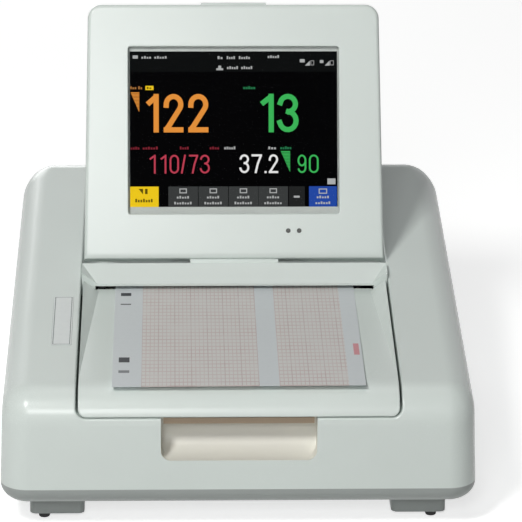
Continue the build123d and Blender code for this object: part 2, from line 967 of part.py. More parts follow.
def drawer_tray():
    """Tray under the table: floor with runners, side walls up to the table, ears for the platen."""
    floor_low = well_floor_height + rail_base_thickness + seat_gap
    floor_top = floor_low + tray_floor_thickness
    tray = block(
        (-runner_half_width, tray_front_y, floor_low), (runner_half_width, tray_back_y, floor_top)
    )
    wall_drop = drawer_wall / cos(radians(table_slope))
    wall = side_prism(
        [
            (tray_front_y, floor_low),
            (tray_back_y, floor_low),
            (platen_y, platen_height - platen_ear_radius),
            (platen_y, platen_height),
            (cover_back_y, platen_height),
            (cover_back_y, table_height(cover_back_y) - wall_drop),
            (tray_front_y, table_height(tray_front_y) - wall_drop),
        ],
        0,
        tray_half_width - tray_wall,
        tray_half_width,
    )
    ear = (tray_half_width - tray_wall, tray_half_width, platen_y, platen_height)
    wall += rod_x(platen_ear_radius, *ear)
    wall -= rod_x(bush_radius + fit_gap, *ear)
    tray += wall + mirrored(wall)
    front_top = table_height(tray_front_y) - wall_drop
    tray += block(
        (-tray_half_width, tray_front_y, floor_low),
        (tray_half_width, tray_front_y + tray_wall, front_top),
    )
    lug_inner = lever_arm_x + lever_arm_width / 2 + seat_gap
    lug = side_prism(
        [
            (lever_pivot_y - lever_eye_radius, lever_pivot_height - lever_eye_radius),
            (tray_front_y, floor_top),
            (tray_front_y, lever_pivot_height + lever_eye_radius),
            (lever_pivot_y - lever_eye_radius, lever_pivot_height + lever_eye_radius),
        ],
        [lever_nose_radius, 0, 0, lever_nose_radius],
        lug_inner,
        lug_inner + lever_lug_width,
    )
    lug -= rod_x(lever_pin_radius + fit_gap, 0, casing_width, lever_pivot_y, lever_pivot_height)
    return tray + lug + mirrored(lug)


def rail(side):
    """Channel-shaped rail on the well's floor that guides one runner of the tray."""
    web_inner = runner_half_width + rail_side_gap
    base_top = well_floor_height + rail_base_thickness
    lip_low = base_top + seat_gap + tray_floor_thickness + rail_lip_gap
    lip_inner = web_inner - rail_lip_width
    high = lip_low + rail_base_thickness
    web_outer = web_inner + rail_web_thickness
    shape = block((lip_inner, rail_front_y, well_floor_height), (web_outer, rail_back_y, base_top))
    shape += block((web_inner, rail_front_y, well_floor_height), (web_outer, rail_back_y, high))
    shape += block((lip_inner, rail_front_y, lip_low), (web_outer, rail_back_y, high))
    return shape if side > 0 else mirrored(shape)


def lever_pin():
    """Pin that the release lever turns on."""
    reach = lever_arm_x + lever_arm_width / 2 + seat_gap + lever_lug_width
    return rod_x(lever_pin_radius, -reach, reach, lever_pivot_y, lever_pivot_height)


def release_lever():
    """Squeeze lever: a paddle in the finger recess on two arms that turn on the pin."""
    paddle_back = front_y + recess_depth - lever_paddle_gap
    paddle_front = paddle_back - lever_paddle_length
    paddle_top = lever_paddle_height + lever_paddle_thickness
    paddle = side_prism(
        [
            (paddle_front, lever_paddle_height),
            (paddle_back, lever_paddle_height),
            (paddle_back, paddle_top),
            (paddle_front, paddle_top),
        ],
        lever_nose_radius,
        -lever_half_width,
        lever_half_width,
    )
    arm = side_prism(
        [
            (paddle_back, paddle_top - lever_paddle_thickness / 2),
            (paddle_back, drawer_foot_height),
            (lever_pivot_y, lever_pivot_height - lever_eye_radius),
            (lever_pivot_y, lever_pivot_height + lever_eye_radius),
            (paddle_back - lever_arm_width, drawer_foot_height + lever_paddle_thickness),
            (paddle_back - lever_arm_width, paddle_top - lever_paddle_thickness / 2),
        ],
        0,
        lever_arm_x - lever_arm_width / 2,
        lever_arm_x + lever_arm_width / 2,
    )
    arm += rod_x(
        lever_eye_radius,
        lever_arm_x - lever_arm_width / 2,
        lever_arm_x + lever_arm_width / 2,
        lever_pivot_y,
        lever_pivot_height,
    )
    arm -= rod_x(lever_pin_radius + pivot_gap, 0, casing_width, lever_pivot_y, lever_pivot_height)
    return paddle + arm + mirrored(arm)


def paper_pack():
    """Fan-folded pack of chart paper lying in the tray."""
    low = well_floor_height + rail_base_thickness + seat_gap + tray_floor_thickness
    half = paper_width / 2
    corners = [
        (pack_front_y, low),
        (pack_front_y + pack_length, low),
        (pack_front_y + pack_length, low + pack_height),
        (pack_front_y, low + pack_height),
    ]
    return side_prism(corners, pack_fold_radius, -half, half)


def chart_paper():
    """Chart paper from the pack, round the platen and out along the table."""
    pack_back = pack_front_y + pack_length
    pack_top = well_floor_height + rail_base_thickness + seat_gap + tray_floor_thickness + pack_height
    inner = platen_radius + seat_gap
    outer = inner + paper_thickness
    tip = front_y + paper_overhang_setback
    edge = cover_back_y + tongue_length
    sheet = Polyline(
        (tip, table_height(tip)),
        (edge, table_height(edge)),
        (platen_y, platen_height + inner),
        (platen_y, platen_height + outer),
        (edge, table_height(edge) + paper_thickness),
        (tip, table_height(tip) + paper_thickness),
        close=True,
    )
    tail = Polyline(
        (pack_back - overrun, pack_top),
        (platen_y, platen_height - outer),
        (platen_y, platen_height - inner),
        (pack_back - overrun, pack_top + paper_thickness),
        close=True,
    )
    wrap = Circle(outer) - Circle(inner)
    wrap &= Pos(outer, 0) * Rectangle(2 * outer, 2 * outer)
    outline = make_face(sheet) + make_face(tail) + Pos(platen_y, platen_height) * wrap
    half = paper_width / 2
    return Pos(-half, 0, 0) * extrude(Plane.YZ * outline, amount=paper_width)


# Platen and gear train


def gear_places():
    """Centres of the four gears as (y, z), from the platen's gear to the motor's pinion."""
    counts = gear_counts()

    def reach(i):
        return gear_module * (counts[i] + counts[i + 1]) / 2 + gear_backlash

    upper = (platen_y + reach(0), platen_height)
    lower = (
        upper[0] + lower_idler_shift_y,
        upper[1] - sqrt(reach(1) ** 2 - lower_idler_shift_y ** 2),
    )
    motor = (lower[0] + motor_shift_y, lower[1] - sqrt(reach(2) ** 2 - motor_shift_y ** 2))
    return [(platen_y, platen_height), upper, lower, motor]


def gear_counts():
    """Numbers of teeth along the train."""
    return [platen_tooth_count, upper_idler_tooth_count, lower_idler_tooth_count, motor_tooth_count]


def gear_phases():
    """Angle in degrees of one tooth of each gear, so that each gear meshes with the one before."""
    places = gear_places()
    counts = gear_counts()
    phases = [0.0]
    for i in range(len(counts) - 1):
        dy = places[i + 1][0] - places[i][0]
        dz = places[i + 1][1] - places[i][1]
        line = degrees(atan2(dz, dy))
        pitch = 360 / counts[i]
        lead = (phases[i] - line) % pitch
        half_turn = 180
        next_half_pitch = half_turn / counts[i + 1]
        phases.append(line + half_turn - lead * counts[i] / counts[i + 1] + next_half_pitch)
    return phases


def spur_gear(index, bore):
    """Spur gear of the train with straight-sided teeth, on its own centre and in mesh."""
    count = gear_counts()[index]
    y, z = gear_places()[index]
    phase = radians(gear_phases()[index])
    pitch_radius = gear_module * count / 2
    tip_radius = pitch_radius + gear_module * gear_addendum_share
    root_radius = pitch_radius - gear_module * gear_dedendum_share
    half_tooth = pi / (2 * count) * tooth_pitch_share
    points = []
    for tooth in range(count):
        middle = phase + 2 * pi * tooth / count
        for radius, share in (
            (root_radius, -tooth_root_share),
            (tip_radius, -tooth_tip_share),
            (tip_radius, tooth_tip_share),
            (root_radius, tooth_root_share),
        ):
            angle = middle + half_tooth * share
            points.append((y + radius * cos(angle), z + radius * sin(angle)))
    outline = make_face(Plane.YZ * Polyline(*points, close=True))
    wheel = Pos(-gear_outer_x, 0, 0) * extrude(outline, amount=gear_width)
    return wheel - rod_x(bore, -gear_outer_x - overrun, -gear_outer_x + gear_width + overrun, y, z)


def platen_shaft():
    """Steel shaft of the platen."""
    left = -gear_outer_x - fit_gap
    return rod_x(platen_shaft_radius, left, platen_shaft_right_x, platen_y, platen_height)


def platen_roller():
    """Rubber sleeve that drives the paper."""
    half = platen_length / 2
    sleeve = rod_x(platen_radius, -half, half, platen_y, platen_height)
    return sleeve - rod_x(platen_shaft_radius, -half - overrun, half + overrun, platen_y, platen_height)


def platen_bushes():
    """Two flanged bushes that carry the shaft in the tray's ears."""
    inner = tray_half_width - tray_wall
    bush = rod_x(bush_radius, inner, tray_half_width, platen_y, platen_height)
    bush += rod_x(
        bush_flange_radius,
        tray_half_width + fit_gap,
        tray_half_width + bush_flange_thickness,
        platen_y,
        platen_height,
    ) + rod_x(bush_radius, inner, tray_half_width + bush_flange_thickness, platen_y, platen_height)
    bush -= rod_x(platen_shaft_radius + pivot_gap, 0, casing_width, platen_y, platen_height)
    return Compound(children=[bush, mirrored(bush)])


def gear_studs():
    """Two studs on the recorder frame that the idler gears turn on."""
    studs = []
    cap_inner = -gear_outer_x - seat_gap
    for y, z in gear_places()[1:3]:
        stud = rod_x(gear_stud_radius, cap_inner, -frame_side_x, y, z)
        cap_outer = cap_inner - gear_stud_cap_thickness
        studs.append(stud + rod_x(gear_stud_cap_radius, cap_outer, cap_inner, y, z))
    return Compound(children=studs)


def recorder_motor():
    """Stepper motor can with its mounting flange, bolted inside the recorder frame."""
    y, z = gear_places()[3]
    left = -frame_side_x
    can = rod_x(motor_radius, left, left + motor_length, y, z)
    rim = [e for e in can.edges() if abs((e @ 0).X - left - motor_length) < fit_gap]
    can = fillet(rim, motor_flange_thickness)
    flange_half = motor_flange_length / 2
    can += block(
        (left, y - motor_flange_width / 2, z - flange_half),
        (left + motor_flange_thickness, y + motor_flange_width / 2, z + flange_half - motor_radius / 2),
    )
    can += rod_x(motor_pilot_radius, left - frame_sheet, left, y, z)
    return can - rod_x(motor_shaft_radius + pivot_gap, left - overrun, left + motor_radius, y, z)


def motor_shaft():
    """Shaft of the motor, with the pinion on its end."""
    y, z = gear_places()[3]
    return rod_x(motor_shaft_radius, -gear_outer_x, -frame_side_x + motor_radius - seat_gap, y, z)


# Recorder frame and print head


def recorder_frame():
    """Bent sheet frame: floor on the chassis, two side plates and a web behind the head."""
    outer_x = frame_side_x + frame_sheet
    floor = block(
        (-outer_x, frame_front_y, chassis_top), (outer_x, frame_back_y, chassis_top + frame_sheet)
    )
    cheek = side_prism(
        [
            (frame_front_y, chassis_top),
            (frame_back_y, chassis_top),
            (frame_back_y, platen_height - frame_back_drop),
            (frame_shoulder_y, platen_height + frame_top_rise),
            (frame_front_y, platen_height + frame_top_rise),
        ],
        0,
        frame_side_x,
        outer_x,
    )
    web = block(
        (frame_web_left_x, frame_web_y, chassis_top),
        (outer_x, frame_web_y + frame_sheet, platen_height + frame_web_rise),
    )
    left_cheek = mirrored(cheek)
    y, z = gear_places()[3]
    left_cheek -= rod_x(motor_pilot_radius + fit_gap, -casing_width, 0, y, z)
    for y, z in gear_places()[1:3]:
        left_cheek -= rod_x(gear_stud_radius + fit_gap, -casing_width, 0, y, z)
    return floor + cheek + left_cheek + web


def print_head():
    """Thermal print head: a ceramic strip on a finned heat sink, upright behind the platen."""
    front = platen_y + platen_radius + 2 * seat_gap + paper_thickness
    low = platen_height - head_bottom_drop
    high = platen_height + head_top_rise
    head = block((-head_half_width, front, low), (head_half_width, front + head_thickness, high))
    pitch = 2 * head_half_width / head_fin_count
    for i in range(head_fin_count - 1):
        x = -head_half_width + (i + 1) * pitch
        head -= block(
            (x - head_thickness / 4, front + head_thickness / 2, low - overrun),
            (x + head_thickness / 4, front + head_thickness + overrun, high + overrun),
        )
    return head


def head_back():
    """Depth at which the print head ends and its bracket begins."""
    return platen_y + platen_radius + 2 * seat_gap + paper_thickness + head_thickness


def head_bracket():
    """Beam that carries the print head between the frame's side plates."""
    front = head_back()
    back = front + head_bracket_thickness
    reach = frame_side_x - fit_gap
    low = platen_height - head_bracket_drop
    beam = block((-reach, front, low), (reach, back, platen_height + head_top_rise))
    y, z = gear_places()[3]
    return beam - rod_x(motor_radius + seat_gap, -frame_side_x, -frame_side_x + motor_length, y, z)


def head_springs():
    """Springs between the frame's web and the bracket, pressing the head on the platen."""
    front = head_back() + head_bracket_thickness
    length = frame_web_y - front
    springs = []
    for x in (-head_spring_x, head_spring_x):
        spring = coil(head_spring_radius, head_spring_wire, head_spring_turns, length)
        springs.append(Pos(x, front, platen_height - head_spring_drop) * Rot(-90, 0, 0) * spring)
    return Compound(children=springs)


# Screen, in its own frame


def screen_place():
    """Frame of the screen at rest: x to the right, y behind its face, z up its face."""
    return Location((0, screen_foot_y, screen_foot_height), (-screen_lean, 0, 0))


def screen_outline(inset, foot_radius):
    """Front outline of the screen, slightly narrower at the top."""
    corners = [
        (-screen_foot_half_width + inset, inset),
        (screen_foot_half_width - inset, inset),
        (screen_top_half_width - inset, screen_tall - inset),
        (-screen_top_half_width + inset, screen_tall - inset),
    ]
    radii = [
        foot_radius - inset / 2,
        foot_radius - inset / 2,
        screen_top_corner_radius - inset,
        screen_top_corner_radius - inset,
    ]
    return make_face(Plane.XZ * FilletPolyline(*corners, radius=radii, close=True))


def screen_side(inset):
    """Side outline of the screen: flat face, thin foot, ramp to the full depth, rounded crown."""
    foot_back = screen_foot_depth - inset
    back = screen_back_depth - inset
    corners = [
        (inset, inset),
        (foot_back, inset),
        (foot_back, screen_ramp_low + inset / 2),
        (back, screen_ramp_high + inset / 2),
        (back, screen_crown_low - inset / 2),
        (screen_crown_depth - inset / 2, screen_tall - inset),
        (inset, screen_tall - inset),
    ]
    radii = [
        screen_chin_radius - 2 * inset,
        screen_foot_back_radius,
        screen_foot_back_radius,
        screen_ramp_radius,
        screen_crown_radius,
        screen_top_back_radius,
        screen_foot_back_radius,
    ]
    return side_prism(corners, radii, -side_x, side_x)


def screen_bezel():
    """Front shell of the screen, with the window, indicator holes and hinge slot."""
    outline = screen_outline(0, screen_foot_corner_radius)
    shell = Pos(0, screen_split_depth, 0) * extrude(outline, amount=screen_split_depth)
    rim = shell.faces().sort_by(Axis.Y)[0].edges()
    shell = fillet(rim, screen_front_edge_radius) & screen_side(0)
    depth = screen_split_depth - screen_wall
    cavity = Pos(0, screen_split_depth + overrun, 0) * extrude(
        screen_outline(screen_wall, screen_foot_corner_radius), amount=depth + overrun
    )
    shell -= cavity & screen_side(screen_wall)
    window = front_prism(
        [
            (-window_half_width, window_low),
            (window_half_width, window_low),
            (window_half_width, window_high),
            (-window_half_width, window_high),
        ],
        window_corner_radius,
        -overrun,
        screen_wall + overrun,
    )
    shell -= window
    front_face = shell.faces().sort_by(Axis.Y)[0]
    window_edges = [
        e
        for e in front_face.edges()
        if abs((e @ (1 / 2)).X) < window_half_width + fit_gap
        and window_low - fit_gap < (e @ (1 / 2)).Z < window_high + fit_gap
    ]
    shell = fillet(window_edges, window_edge_radius)
    for i in range(2):
        x = lens_left_x + i * lens_spacing
        shell -= rod_y(lens_radius + fit_gap, -overrun, screen_wall + overrun, x, lens_high)
    arm_half = barrel_half_length + seat_gap
    shell -= block(
        (-arm_half, arm_front_depth - seat_gap, -overrun),
        (arm_half, arm_back_depth + seat_gap, screen_wall + overrun),
    )
    catch_half = catch_half_width + catch_gap
    shell += block(
        (-catch_half, screen_wall / 2, catch_shelf_top() - catch_shelf_thickness),
        (catch_half, catch_back_depth + catch_gap, catch_shelf_top()),
    )
    shell -= block(
        (-catch_half, catch_front_depth - catch_gap, screen_tall - screen_wall - overrun),
        (catch_half, catch_back_depth + catch_gap, screen_tall + overrun),
    )
    return shell


def screen_bosses():
    """Places of the four screws that hold the screen's two shells together."""
    return [
        (x, z) for x in (-screen_screw_x, screen_screw_x) for z in (screen_screw_low, screen_screw_high)
    ]


def screen_back_form(inset):
    """Outer form of the rear shell, drafted and rounded towards the back."""
    depth = screen_back_depth - screen_split_depth - inset
    face = screen_outline(inset, screen_back_edge_radius)
    start = Pos(0, screen_split_depth, 0) * face
    form = extrude(start, amount=-depth, taper=screen_back_taper)
    rim = form.faces().sort_by(Axis.Y)[-1].edges()
    form = fillet(rim, screen_back_edge_radius - inset)
    return form & screen_side(inset)


def screen_back():
    """Rear shell of the screen, with vents, screw bosses and the slot for the catch's hook."""
    shell = screen_back_form(0) - screen_back_form(screen_wall)
    for x, z in screen_bosses():
        boss = rod_y(screen_boss_radius, screen_split_depth, screen_back_depth, x, z)
        shell += boss & screen_back_form(0)
        shell -= rod_y(screen_screw_radius + fit_gap, 0, screen_back_depth, x, z)
        head_depth = screen_back_depth - screen_wall
        bore = screen_screw_head_radius + seat_gap
        shell -= rod_y(bore, head_depth, screen_back_depth + overrun, x, z)
    for i in range(vent_slot_count):
        x = (i - (vent_slot_count - 1) / 2) * vent_slot_pitch
        slot = SlotOverall(vent_slot_length, vent_slot_width, rotation=90)
        cut = extrude(Plane.XZ * slot, amount=screen_wall + overrun)
        shell -= Pos(x, screen_back_depth + overrun / 2, vent_middle_high) * cut
    hook_half = hook_half_width + catch_gap * 2
    shell -= block(
        (-hook_half, screen_split_depth - overrun, hook_low - catch_travel - catch_gap * 2),
        (hook_half, screen_back_depth + overrun, hook_high + hook_tip_rise + catch_gap),
    )
    return shell


def screen_screws():
    """Four screws through the rear shell's bosses."""
    screws = []
    for x, z in screen_bosses():
        head_depth = screen_back_depth - screen_wall
        head = rod_y(screen_screw_head_radius, head_depth, head_depth + screen_screw_radius, x, z)
        screws.append(head + rod_y(screen_screw_radius, screen_split_depth, head_depth, x, z))
    return Compound(children=screws)


def touch_panel():
    """Glass of the touch panel, behind the bezel's window."""
    reach = window_half_width + touch_panel_margin
    return block(
        (-reach, screen_wall, window_low - touch_panel_margin),
        (reach, screen_wall + touch_panel_thickness, window_high + touch_panel_margin),
    )


def lcd_front():
    """Depth of the LCD module's front."""
    return screen_wall + touch_panel_thickness


def lcd_cell():
    """Glass cell of the LCD, as large as the picture."""
    front = lcd_front() + lcd_lip
    return block(
        (-active_half_width, front, active_low),
        (active_half_width, front + lcd_cell_thickness, active_high),
    )


def lcd_frame():
    """Metal frame and backlight of the LCD, holding the cell."""
    front = lcd_front()
    reach = active_half_width + lcd_margin
    body = block(
        (-reach, front, active_low - lcd_margin),
        (reach, front + lcd_thickness, active_high + lcd_margin),
    )
    return body - block(
        (-active_half_width - fit_gap, front - overrun, active_low - fit_gap),
        (active_half_width + fit_gap, front + lcd_lip + lcd_cell_thickness, active_high + fit_gap),
    )


def screen_board():
    """Circuit board behind the LCD, on short spacers, with its larger chips."""
    front = lcd_front() + lcd_thickness + screen_board_gap
    back = front + screen_board_thickness
    reach = active_half_width - screen_board_margin
    low = active_low + screen_board_margin
    high = active_high - screen_board_margin
    board = block((-reach, front, low), (reach, back, high))
    for x in (-reach + board_spacer_radius, reach - board_spacer_radius):
        for z in (low + board_spacer_radius, high - board_spacer_radius):
            board += rod_y(board_spacer_radius, front - screen_board_gap, front, x, z)
    for x in (-reach / 2, reach / 3):
        board += block(
            (x - chip_length / 2, back, low + chip_length),
            (x + chip_length / 2, back + chip_thickness, low + 2 * chip_length),
        )
    return board


def indicator_lenses():
    """Two small light pipes below the screen."""
    lenses = []
    for i in range(2):
        x = lens_left_x + i * lens_spacing
        lenses.append(rod_y(lens_radius, -lens_proud, lens_length, x, lens_high))
    return Compound(children=lenses)


def hinge_arm():
    """Hinge knuckle under the middle of the screen, with the plate that holds it to the bezel."""
    half = barrel_half_length
    arm = rod_x(barrel_radius, -half, half, hinge_depth, -hinge_drop)
    arm += block((-half, arm_front_depth, -hinge_drop), (half, arm_back_depth, screen_wall + seat_gap))
    arm += block(
        (-half, screen_wall, seat_gap), (half, screen_wall + arm_plate_thickness, arm_plate_high)
    )
    return arm - rod_x(hinge_pin_radius + pivot_gap, -casing_width, casing_width, hinge_depth, -hinge_drop)


def hinge_centre():
    """The hinge's axis in the casing's frame, as (y, z)."""
    lean = radians(screen_lean)
    y = screen_foot_y + hinge_depth * cos(lean) - hinge_drop * sin(lean)
    z = screen_foot_height - hinge_depth * sin(lean) - hinge_drop * cos(lean)
    return y, z


def hinge_pin():
    """Steel pin through the knuckle and both blocks."""
    y, z = hinge_centre()
    reach = barrel_half_length + hinge_block_gap + hinge_block_width
    return rod_x(hinge_pin_radius, -reach, reach, y, z)


def hinge_blocks():
    """Two blocks on the trough's floor that hold the hinge pin."""
    y, z = hinge_centre()
    left = barrel_half_length + hinge_block_gap
    right = left + hinge_block_width
    shape = side_prism(
        [
            (y - hinge_block_base_half, trough_floor_height),
            (y + hinge_block_base_half, trough_floor_height),
            (y + hinge_block_base_half, trough_floor_height + hinge_block_base_thickness),
            (y + hinge_eye_radius / 2, z),
            (y - hinge_eye_radius, z),
            (y - hinge_block_base_half, trough_floor_height + hinge_block_base_thickness),
        ],
        0,
        left,
        right,
    )
    shape += rod_x(hinge_eye_radius, left, right, y, z)
    shape -= rod_x(hinge_pin_radius + fit_gap, 0, casing_width, y, z)
    return Compound(children=[shape, mirrored(shape)])


def catch_button():
    """Release catch: a button in the screen's top edge with its hook through the rear shell."""
    top = screen_tall + catch_proud
    low = top - catch_height
    button = block(
        (-catch_half_width, catch_front_depth, low), (catch_half_width, catch_back_depth, top)
    )
    button = fillet(button.faces().sort_by(Axis.Z)[-1].edges(), catch_edge_radius)
    button += block(
        (-hook_half_width, catch_front_depth, hook_low), (hook_half_width, catch_back_depth, low)
    )
    tip_front = hook_tip_depth - hook_tip_length
    button += block(
        (-hook_half_width, catch_front_depth, hook_low), (hook_half_width, hook_tip_depth, hook_high)
    )
    button += block(
        (-hook_half_width, tip_front, hook_low),
        (hook_half_width, hook_tip_depth, hook_high + hook_tip_rise),
    )
    return button


def catch_shelf_top():
    """Height of the shelf inside the bezel that the catch's springs stand on."""
    return hook_low - catch_travel - seat_gap


def catch_springs():
    """Two small springs between the bezel's shelf and the catch."""
    springs = []
    low = catch_shelf_top() + fit_gap
    length = screen_tall + catch_proud - catch_height - fit_gap - low
    middle = (catch_front_depth + catch_back_depth) / 2
    for x in (-catch_spring_x, catch_spring_x):
        spring = coil(catch_spring_radius, catch_spring_wire, catch_spring_turns, length)
        springs.append(Pos(x, middle, low) * spring)
    return Compound(children=springs)


# Sockets and panels


def plug_socket(width, height, depth, cavity_depth, columns, rows):
    """Keyed socket with contact pins, its mouth at x = 0 and facing +X."""
    half_width = width / 2
    half_height = height / 2

    def prism(margin, inner, outer, radius):
        corners = [
            (-half_width - margin, -half_height - margin),
            (half_width + margin, -half_height - margin),
            (half_width + margin, half_height + margin),
            (-half_width - margin, half_height + margin),
        ]
        return side_prism(corners, radius, inner, outer)

    body = prism(0, -depth, 0, socket_corner_radius)
    flange_outer = -side_panel_thickness
    flange_inner = flange_outer - socket_flange_thickness
    body += prism(socket_flange_margin, flange_inner, flange_outer, socket_corner_radius)
    body -= prism(-socket_wall, -cavity_depth, overrun, socket_corner_radius - socket_wall)
    key_half = socket_wall / 2
    body += block(
        (-cavity_depth - key_half, -key_half, half_height - 2 * socket_wall),
        (-socket_wall, key_half, half_height - socket_wall / 2),
    )
    for column in range(columns):
        for row in range(rows):
            y = (column - (columns - 1) / 2) * socket_pin_pitch
            z = (row - (rows - 1) / 2) * socket_pin_pitch
            half_pin = socket_pin_side / 2
            body += block(
                (-cavity_depth - half_pin, y - half_pin, z - half_pin),
                (-cavity_depth + socket_pin_length, y + half_pin, z + half_pin),
            )
    return body


def socket_places():
    """Places along the right-hand wall of the transducer sockets."""
    middle = (socket_count - 1) / 2
    return [side_panel_middle_y + (i - middle) * socket_spacing for i in range(socket_count)]


def socket_seat(y):
    """Place of a socket in its panel, with its mouth level with the panel's outer face."""
    return Pos(-casing_wall, y, side_panel_middle_up)


def sensor_sockets():
    """Four transducer sockets in the right-hand panel."""
    sockets = []
    for y in socket_places():
        socket = plug_socket(
            socket_width,
            socket_height,
            socket_depth,
            socket_cavity_depth,
            socket_pin_columns,
            socket_pin_rows,
        )
        sockets.append(side_place(1) * socket_seat(y) * socket)
    return Compound(children=sockets)


def oximetry_socket():
    """Socket of the oximetry sensor in the left-hand panel."""
    socket = plug_socket(
        socket_width,
        socket_height,
        socket_depth,
        socket_cavity_depth,
        socket_pin_columns,
        socket_pin_rows,
    )
    return mirrored(side_place(1) * socket_seat(oximetry_socket_y) * socket)


def cuff_socket():
    """Round push-in socket for the cuff's air hose."""
    body = rod_x(cuff_socket_radius, -socket_depth, 0, 0, 0)
    flange_outer = -side_panel_thickness
    flange_radius = cuff_socket_radius + socket_flange_margin
    body += rod_x(flange_radius, flange_outer - socket_flange_thickness, flange_outer, 0, 0)
    body -= rod_x(cuff_bore_radius, -cuff_bore_depth, overrun, 0, 0)
    return mirrored(side_place(1) * socket_seat(cuff_socket_y) * body)


def socket_hole(y, width, height):
    """Hole in a side panel that a keyed socket's mouth fills."""
    half_width = width / 2 + socket_hole_gap
    half_height = height / 2 + socket_hole_gap
    corners = [
        (y - half_width, side_panel_middle_up - half_height),
        (y + half_width, side_panel_middle_up - half_height),
        (y + half_width, side_panel_middle_up + half_height),
        (y - half_width, side_panel_middle_up + half_height),
    ]
    inner = -casing_wall - side_panel_thickness - overrun
    return side_prism(corners, socket_corner_radius, inner, overrun)


def side_panel():
    """Blank of a side panel, lapped behind the wall's window, in the right-hand wall's frame."""
    return panel_window(side_panel_lap, -casing_wall - side_panel_thickness, -casing_wall)


def sensor_panel():
    """Right-hand panel with the holes of the transducer sockets."""
    panel = side_panel()
    for y in socket_places():
        panel -= socket_hole(y, socket_width, socket_height)
    return side_place(1) * panel


def vitals_panel():
    """Left-hand panel with the holes of the cuff and oximetry sockets."""
    panel = side_panel() - socket_hole(oximetry_socket_y, socket_width, socket_height)
    bore = cuff_socket_radius + socket_hole_gap
    panel -= rod_x(bore, -casing_width, casing_width, cuff_socket_y, side_panel_middle_up)
    return mirrored(side_place(1) * panel)


def side_board():
    """Upright circuit board behind a side panel's sockets, in the right-hand wall's frame."""
    outer = -casing_wall - socket_depth
    inner = outer - side_board_thickness
    half_length = side_board_length / 2
    half_height = side_board_height / 2
    board = block(
        (inner, side_panel_middle_y - half_length, side_panel_middle_up - half_height),
        (outer, side_panel_middle_y + half_length, side_panel_middle_up + half_height),
    )
    for share in (-1, 1):
        y = side_panel_middle_y + share * side_board_length / 4
        board += block(
            (inner - side_board_chip_thickness, y - side_board_chip_length / 2, side_panel_middle_up),
            (
                inner,
                y + side_board_chip_length / 2,
                side_panel_middle_up + side_board_chip_length,
            ),
        )
    return board


def rear_panel():
    """Plate that closes the connector bay, with the holes of the rear connectors."""
    back = back_y - bay_depth
    plate = bay_form(bay_wall, back - rear_panel_thickness, back)
    plate -= rear_hole(inlet_x, inlet_width, inlet_height)
    for x in network_places():
        plate -= rear_hole(x, network_width, network_height)
    hole_front = back - rear_panel_thickness - overrun
    plate -= rod_y(button_radius + button_gap, hole_front, back + overrun, button_x, connector_height)
    plate -= rod_y(earth_post_radius + fit_gap, hole_front, back + overrun, post_x, connector_height)
    return plate


def rear_hole(x, width, height):
    """Rectangular hole in the rear panel with room for a connector's body."""
    back = back_y - bay_depth
    half_width = width / 2 + seat_gap
    half_height = height / 2 + seat_gap
    front = back - rear_panel_thickness - overrun
    return block(
        (x - half_width, front, connector_height - half_height),
        (x + half_width, back + overrun, connector_height + half_height),
    )


def network_places():
    """Places across the rear panel of the two interface sockets."""
    return [network_x, network_x + network_spacing]


def mains_inlet():
    """Three-pin mains inlet with its flange on the rear panel."""
    face = back_y - bay_depth + inlet_proud
    back = back_y - bay_depth
    half_width = inlet_width / 2
    half_height = inlet_height / 2
    body = block(
        (inlet_x - half_width, face - inlet_depth, connector_height - half_height),
        (inlet_x + half_width, face, connector_height + half_height),
    )
    body += block(
        (
            inlet_x - half_width - inlet_flange_margin,
            back,
            connector_height - half_height - seat_gap * 2,
        ),
        (
            inlet_x + half_width + inlet_flange_margin,
            back + inlet_flange_thickness,
            connector_height + half_height + seat_gap * 2,
        ),
    )
    cavity_half = inlet_cavity_width / 2
    cavity_low = connector_height - inlet_cavity_height / 2
    cavity_high = connector_height + inlet_cavity_height / 2
    bevel = inlet_cavity_height / 4
    cavity_front = face - inlet_depth + inlet_flange_thickness
    body -= front_prism(
        [
            (inlet_x - cavity_half, cavity_low),
            (inlet_x + cavity_half, cavity_low),
            (inlet_x + cavity_half, cavity_high - bevel),
            (inlet_x + cavity_half - bevel, cavity_high),
            (inlet_x - cavity_half + bevel, cavity_high),
            (inlet_x - cavity_half, cavity_high - bevel),
        ],
        0,
        cavity_front,
        face + overrun,
    )
    for i in (-1, 0, 1):
        x = inlet_x + i * inlet_blade_spacing
        z = connector_height + (inlet_blade_height / 2 if i == 0 else -inlet_blade_height / 2)
        root = cavity_front - inlet_flange_thickness / 2
        body += block(
            (x - inlet_blade_thickness / 2, root, z - inlet_blade_height / 2),
            (x + inlet_blade_thickness / 2, cavity_front + inlet_blade_length, z + inlet_blade_height / 2),
        )
    return body


def network_sockets():
    """Two shielded interface sockets."""
    face = back_y - bay_depth + network_proud
    sockets = []
    for x in network_places():
        body = block(
            (x - network_width / 2, face - network_depth, connector_height - network_height / 2),
            (x + network_width / 2, face, connector_height + network_height / 2),
        )
        low = connector_height - network_cavity_height / 2
        wall = (network_width - network_cavity_width) / 2
        body -= block(
            (x - network_cavity_width / 2, face - network_depth + wall, low),
            (x + network_cavity_width / 2, face + overrun, low + network_cavity_height),
        )
        body -= block(
            (x - network_cavity_width / 4, face - network_depth + wall, low - wall / 2),
            (x + network_cavity_width / 4, face + overrun, low + wall),
        )
        sockets.append(body)
    return Compound(children=sockets)


def earth_post():
    """Equipotential post with its nut, on the rear panel."""
    back = back_y - bay_depth
    nut = extrude(Plane.XZ * RegularPolygon(earth_nut_radius, 6), amount=earth_nut_thickness)
    post = Pos(post_x, back + earth_nut_thickness, connector_height) * nut
    stem_front = back - rear_panel_thickness - earth_nut_thickness
    return post + rod_y(earth_post_radius, stem_front, back + earth_post_length, post_x, connector_height)


